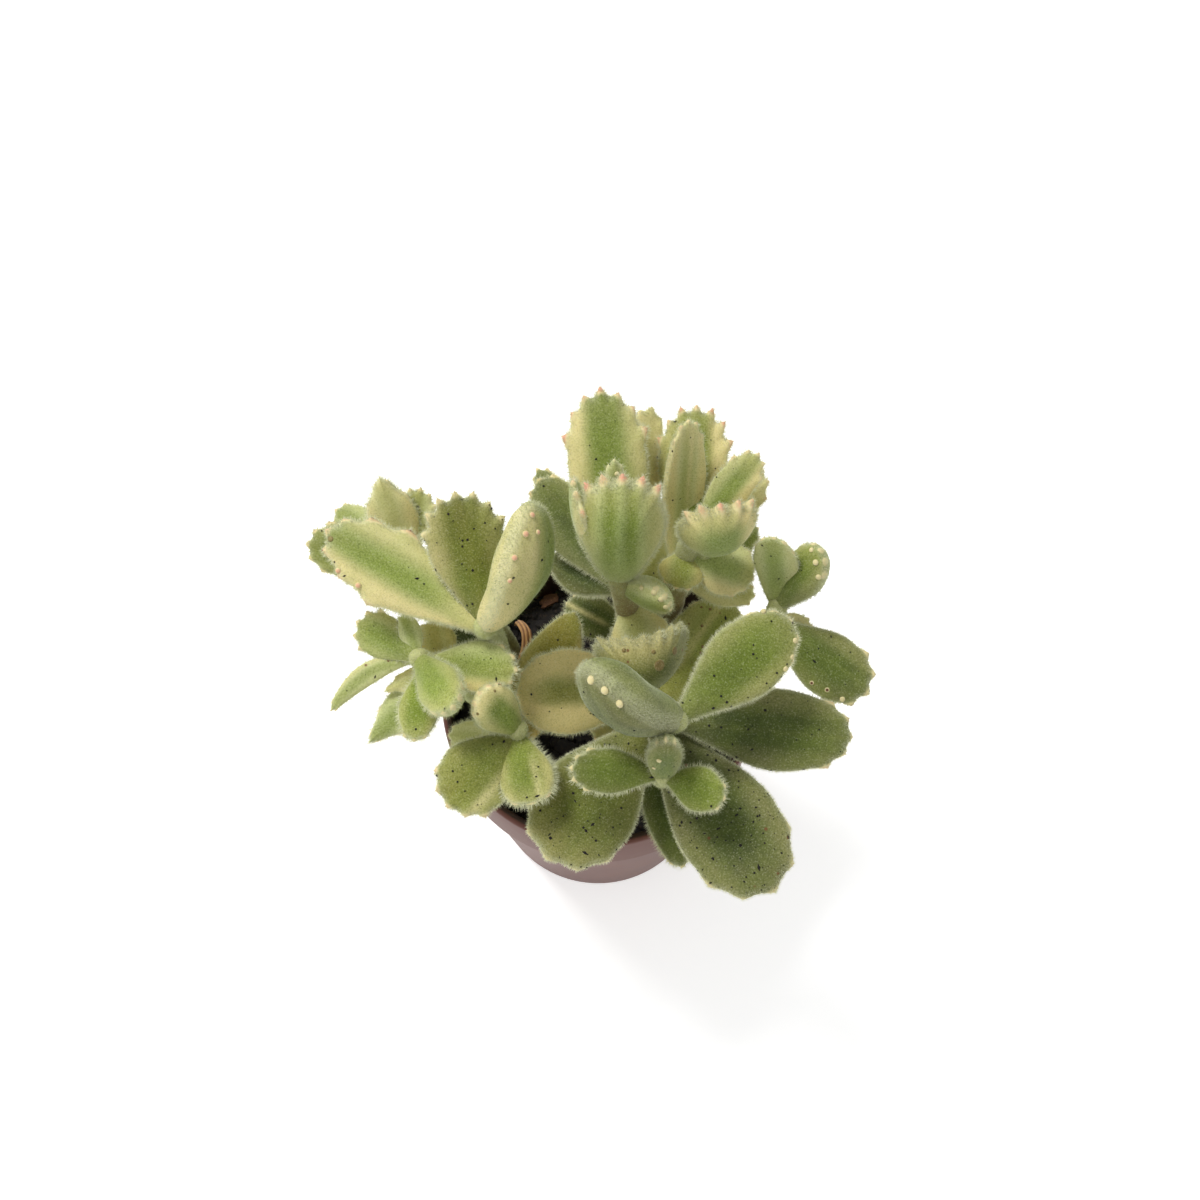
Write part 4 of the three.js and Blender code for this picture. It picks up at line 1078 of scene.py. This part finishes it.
# ---------------------------------------------------------------- pot, soil and dry leaf


def wall_radius(height):
    """Radius of the pot's outside, under the rim band, at a height."""
    under_band = POT_RIM_RADIUS - RIM_BAND_STEP - 0.2
    return mix(POT_BASE_RADIUS, under_band, height / (POT_HEIGHT - RIM_BAND_HEIGHT))


def soil_height(x, y):
    """Height of the soil's rolling surface."""
    return SOIL_TOP + SOIL_RELIEF * np.sin(0.35 * x + 1.1) * np.cos(0.31 * y - 0.4)


def rounded(corners, radius, steps=4):
    """A profile whose corners are cut back by radius, or by a third of the shorter side, and joined by a
    quadratic curve. The two ends stay."""
    corners = np.array(corners, float)
    points = [corners[:1]]
    for before, corner, after in zip(corners, corners[1:], corners[2:]):
        cut = [min(radius, np.linalg.norm(other - corner) / 3) for other in (before, after)]
        start = corner + unit(before - corner) * cut[0]
        end = corner + unit(after - corner) * cut[1]
        t = np.linspace(0, 1, steps)[:, None]
        points.append((1 - t) ** 2 * start + 2 * t * (1 - t) * corner + t * t * end)
    return np.concatenate([*points, corners[-1:]])


def turned(profile, steps):
    """Points and triangles of an outline of (radius, height) from the axis back to it, turned round it."""
    turn = turns(steps)
    inner = profile[1:-1]
    radius, height = inner[:, :1], inner[:, 1:]
    flat = np.zeros(steps)
    rings = np.stack([radius * np.cos(turn), radius * np.sin(turn), height + flat], -1)
    ends = np.array([[0, 0, profile[0, 1]], [0, 0, profile[-1, 1]]])
    triangles, _ = ringed(len(inner), steps)
    return np.concatenate([rings.reshape(-1, 3), ends]), triangles


# Steps round the pot and round a drain hole, and how far the drill starts under the floor in mm.
POT_SIDES = 144
DRILL_SIDES = 32
DRILL_DEPTH = 3


def pot_piece(material):
    """The turned pot with its drain holes cut through the floor."""
    foot = POT_HEIGHT - RIM_BAND_HEIGHT
    profile = rounded([
        (0, 0), (POT_BASE_RADIUS - 0.8, 0), (POT_BASE_RADIUS, 0.8), (wall_radius(foot), foot),
        (wall_radius(foot) + RIM_BAND_STEP, foot + 0.6), (POT_RIM_RADIUS, POT_HEIGHT - 0.7),
        (POT_RIM_RADIUS - 0.6, POT_HEIGHT), (POT_RIM_RADIUS - 1.5, POT_HEIGHT),
        (POT_RIM_RADIUS - 2, POT_HEIGHT - 0.6),
        (wall_radius(foot) - POT_WALL + 0.8, foot), (wall_radius(POT_FLOOR) - POT_WALL, POT_FLOOR + 1),
        (wall_radius(POT_FLOOR) - POT_WALL - 1, POT_FLOOR), (0, POT_FLOOR),
    ], 0.6)
    points, triangles = turned(profile, POT_SIDES)
    shell = mesh_piece("pot_shell", points, oriented(points, triangles), material)
    drill_points, drill_triangles = [], []
    high = 2 * POT_FLOOR
    rod = np.array([
        (0, -DRILL_DEPTH), (DRAIN_HOLE_RADIUS, -DRILL_DEPTH), (DRAIN_HOLE_RADIUS, high), (0, high),
    ], float)
    for k in range(DRAIN_HOLES):
        angle = 2 * math.pi * k / DRAIN_HOLES
        centre = np.array([DRAIN_HOLE_CIRCLE * math.cos(angle), DRAIN_HOLE_CIRCLE * math.sin(angle), 0])
        points, triangles = turned(rod, DRILL_SIDES)
        drill_triangles.append(oriented(points, triangles) + k * len(points))
        drill_points.append(points + centre)
    drill = mesh_piece("drill", np.concatenate(drill_points), np.concatenate(drill_triangles), material)
    cut = shell.modifiers.new("drain_holes", "BOOLEAN")
    cut.operation, cut.solver, cut.object = "DIFFERENCE", "EXACT", drill
    evaluated = shell.evaluated_get(bpy.context.evaluated_depsgraph_get())
    mesh = bpy.data.meshes.new_from_object(evaluated)
    shell.modifiers.clear()
    shell.data = mesh
    bpy.data.objects.remove(drill)
    mesh.set_sharp_from_angle(angle=math.radians(50))
    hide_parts("pot")


GOLDEN_RATIO = 1.618
SIGNS = [(s, t) for s in (-1, 1) for t in (-1, 1)]
ICOSAHEDRON = unit(np.array(
    [(s, GOLDEN_RATIO * t, 0) for s, t in SIGNS] + [(0, s, GOLDEN_RATIO * t) for s, t in SIGNS]
    + [(GOLDEN_RATIO * s, 0, t) for s, t in SIGNS]
))


def icosahedron_faces():
    """Every three corners that lie one edge apart from each other, turned to face out."""
    apart = np.linalg.norm(ICOSAHEDRON[:, None] - ICOSAHEDRON, axis=-1)
    near = (apart > 0.1) & (apart < 1.2)
    faces = [
        (i, j, k) for i in range(12) for j in range(i + 1, 12) for k in range(j + 1, 12)
        if near[i, j] and near[j, k] and near[i, k]
    ]
    outward = [np.linalg.det(ICOSAHEDRON[list(face)]) > 0 for face in faces]
    return np.array([face if right else face[::-1] for face, right in zip(faces, outward)])


# How many crumbs, and the smallest size and its range in mm.
SOIL_CRUMBS = 2300
SMALLEST_CRUMB = 0.35
CRUMB_RANGE = 1.3


def crumbs_piece(material, rng):
    """Peat crumbs over the soil: rough lumps with twenty faces, small ones many and big ones few."""
    faces = icosahedron_faces()
    edge = wall_radius(SOIL_TOP) - POT_WALL - 1.2
    distance = edge * np.sqrt(rng.random(SOIL_CRUMBS))
    angle = rng.uniform(0, 2 * np.pi, SOIL_CRUMBS)
    x, y = distance * np.cos(angle), distance * np.sin(angle)
    size = SMALLEST_CRUMB + CRUMB_RANGE * rng.random(SOIL_CRUMBS) ** 4
    size = np.minimum(size, edge + 0.9 - distance + 0.2)
    squash = np.stack([rng.uniform(*span, SOIL_CRUMBS) for span in ((0.7, 1.3), (0.7, 1.3), (0.5, 0.9))], -1)
    lumps = ICOSAHEDRON * rng.uniform(0.75, 1.2, (SOIL_CRUMBS, 12, 1)) * (squash * size[:, None])[:, None]
    middle = np.stack([x, y, soil_height(x, y) + 0.2 * size], -1)
    points = (middle[:, None] + lumps).reshape(-1, 3)
    triangles = copies(SOIL_CRUMBS, 12, faces)
    mesh_piece("soil_crumbs", points, triangles, material, smooth=False)


# Bark chips: x, y, half length, half width and turn in degrees.
BARK_CHIPS = [(-10.5, 25, 2.4, 1.3, 35), (8.5, -11.5, 2.2, 1.2, 110), (-5, 3, 1.8, 1.0, 60)]
CHIP_SIDES = 18
CHIP_HALF_THICKNESS = 0.55


def chips_piece(material, rng):
    """Bark chips on the soil: each is a flat lens with a ragged outline and rough faces."""
    turn = turns(CHIP_SIDES)
    level = np.linspace(-0.9, 0.9, 7)[:, None]
    parts, faces, count = [], [], 0
    for x, y, length, width, heading in BARK_CHIPS:
        ragged = rng.uniform(0.8, 1.15, CHIP_SIDES) * (1 - level ** 4) ** 0.25
        rings = np.stack([
            length * ragged * np.cos(turn), width * ragged * np.sin(turn),
            CHIP_HALF_THICKNESS * level + rng.uniform(-0.08, 0.08, ragged.shape),
        ], -1).reshape(-1, 3)
        points = np.concatenate([rings, [[0, 0, -CHIP_HALF_THICKNESS], [0, 0, CHIP_HALF_THICKNESS]]])
        angle = math.radians(heading)
        ahead = np.array([math.cos(angle), math.sin(angle), rng.uniform(-0.15, 0.15)])
        aside = np.array([-math.sin(angle), math.cos(angle), rng.uniform(-0.15, 0.15)])
        up = np.cross(ahead, aside)
        middle = np.array([x, y, soil_height(x, y) + 1.1])
        points = middle + points[:, :1] * ahead + points[:, 1:2] * aside + points[:, 2:] * up
        triangles, _ = ringed(len(level), CHIP_SIDES)
        parts.append(points)
        faces.append(oriented(points, triangles) + count)
        count += len(points)
    points, triangles = np.concatenate(parts), np.concatenate(faces)
    mesh_piece("bark_chips", points, triangles, material, smooth=False)


def smooth_path(points, count):
    """Places at even steps of a Catmull-Rom curve through the points: each span is the cubic whose slope at
    a point is half the way between the points on both sides of it."""
    points = np.array(points, float)
    padded = np.concatenate([[2 * points[0] - points[1]], points, [2 * points[-1] - points[-2]]])
    at_step = np.linspace(0, len(points) - 1, count)
    span = np.minimum(at_step.astype(int), len(points) - 2)
    t = (at_step - span)[:, None]
    p0, p1, p2, p3 = (padded[span + k] for k in range(4))
    square, cube = 2 * p0 - 5 * p1 + 4 * p2 - p3, 3 * p1 - p0 - 3 * p2 + p3
    return 0.5 * (2 * p1 + (p2 - p0) * t + square * t ** 2 + cube * t ** 3)


def dry_leaf_piece(material, rng):
    """The dried leaf: a thin strip along its path whose edges roll over, with ribs down its length."""
    path = smooth_path(DRY_LEAF_PATH, DRY_LEAF_STEPS)
    t = np.linspace(0, 1, DRY_LEAF_STEPS)
    ahead = unit(np.gradient(path, axis=0))
    side = unit(np.array([1, 0, 0]) - ahead[:, :1] * ahead)
    up = np.cross(ahead, side)
    turn = turns(DRY_LEAF_SIDES)
    swell = 0.45 + 0.55 * np.sin(np.pi * np.minimum(1, 0.15 + 0.8 * t))
    half = (DRY_LEAF_HALF_WIDTH * swell)[:, None]
    x = half * np.cos(turn)
    thick = DRY_LEAF_HALF_THICKNESS * np.sin(turn) * np.sqrt(np.maximum(0.05, 1 - np.cos(turn) ** 6))
    roll = DRY_LEAF_ROLL * (x / half) ** 2 * swell[:, None]
    ribs = DRY_LEAF_RIB_HEIGHT * np.sin(DRY_LEAF_RIBS * np.cos(turn) + 2 * np.sin(7 * t)[:, None])
    height = thick + roll + ribs - 0.2
    rings = path[:, None] + x[..., None] * side[:, None] + height[..., None] * up[:, None]
    points = np.concatenate([rings.reshape(-1, 3), path[[0, -1]]])
    triangles, _ = ringed(DRY_LEAF_STEPS, DRY_LEAF_SIDES)
    stripe = np.tile(0.5 + 0.5 * np.sin(DRY_LEAF_RIBS * np.cos(turn)), DRY_LEAF_STEPS)
    piece = mesh_piece(
        "dry_leaf_blade", points, oriented(points, triangles), material,
        marks={"stripe": np.append(stripe, [0, 0])},
    )
    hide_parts("dry_leaf")


# ---------------------------------------------------------------- the scene


# Camera place in metres, degrees above the horizon, lens and sensor in mm. Floor, sky and lamps.
CAMERA_PLACE = (0.000413, -0.119974, 0.378760)
CAMERA_ELEVATION = 66
CAMERA_LENS = 49.35
CAMERA_SENSOR = 36
FLOOR_REACH = 3
SKY_COLOUR = (0.97, 0.985, 1, 1)
SKY_STRENGTH = 0.46
LAMPS_AIM = (0, 0, 0.08)
# Softboxes: name, place, side and power.
SOFTBOXES = (
    ("overhead", (-0.45, 0.4, 1.05), 0.35, 10.5),
    ("front_fill", (-0.5, -0.9, 0.9), 0.8, 2.2),
)


def studio():
    """The camera over the plant, a pale floor, a sky of soft light and two softboxes."""
    scene = bpy.context.scene
    camera = bpy.data.objects.new("camera", bpy.data.cameras.new("camera"))
    camera.location = CAMERA_PLACE
    camera.rotation_euler = (math.radians(90 - CAMERA_ELEVATION), 0, 0)
    camera.data.lens, camera.data.sensor_width = CAMERA_LENS, CAMERA_SENSOR
    camera.data.clip_start, camera.data.clip_end = 0.01, 10
    scene.collection.objects.link(camera)
    scene.camera = camera

    tree = Tree("floor_paper")
    grain = tree.noise(400, 3)
    tree.finish(
        Base_Color=tree.blend(paint(246, 246, 244), paint(250, 250, 249), grain), Roughness=0.8,
        Emission_Color=(1, 1, 1, 1), Emission_Strength=0.5,
    )
    mesh = bpy.data.meshes.new("floor")
    corners = [(x * FLOOR_REACH, y * FLOOR_REACH, 0) for x, y in ((-1, -1), (1, -1), (1, 1), (-1, 1))]
    mesh.from_pydata(corners, [], [(0, 1, 2, 3)])
    mesh.materials.append(tree.material)
    floor = bpy.data.objects.new("floor", mesh)
    scene.collection.objects.link(floor)

    scene.world = bpy.data.worlds.new("sky")
    scene.world.use_nodes = True
    sky = scene.world.node_tree.nodes["Background"]
    sky.inputs["Color"].default_value = SKY_COLOUR
    sky.inputs["Strength"].default_value = SKY_STRENGTH
    for name, place, size, power in SOFTBOXES:
        light = bpy.data.lights.new(name, "AREA")
        light.energy, light.size = power, size
        lamp = bpy.data.objects.new(name, light)
        towards = np.array(LAMPS_AIM) - np.array(place)
        lamp.location = place
        lamp.rotation_euler = Vector(towards).to_track_quat("-Z", "Y").to_euler()
        scene.collection.objects.link(lamp)
    scene.view_settings.view_transform = "Standard"


studio()
skin_material, hairs_material = leaf_skin_material(), hair_material()
peat = grain_material("peat", paint(22, 17, 14), paint(70, 52, 38))
skins = {}
for order, (stem, shoots) in enumerate(LEAFY_STEMS.items()):
    rng = np.random.default_rng(SEED + order)
    skin = skins[stem] = leafy_skin(shoots, rng)
    shown = {name: skin.marks[name] for name in SHADER_MARKS}
    name = stem.replace("stem", "leaves")
    leaves = mesh_piece(name, skin.points, skin.triangles, skin_material, skin.corners, shown)
    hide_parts(stem)
    hair_piece(stem.replace("stem", "hairs"), skin, hairs_material, rng)
rng = np.random.default_rng(SEED + 100)
grit_piece("leaf_grit", skins.values(), peat, rng)
crumbs_piece(peat, rng)
chips_piece(grain_material("bark", paint(92, 60, 40), paint(156, 116, 80)), rng)
for material_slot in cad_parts["soil"].material_slots:
    material_slot.material = peat
pot_piece(pot_material())
dry_leaf_piece(dry_leaf_material(), rng)
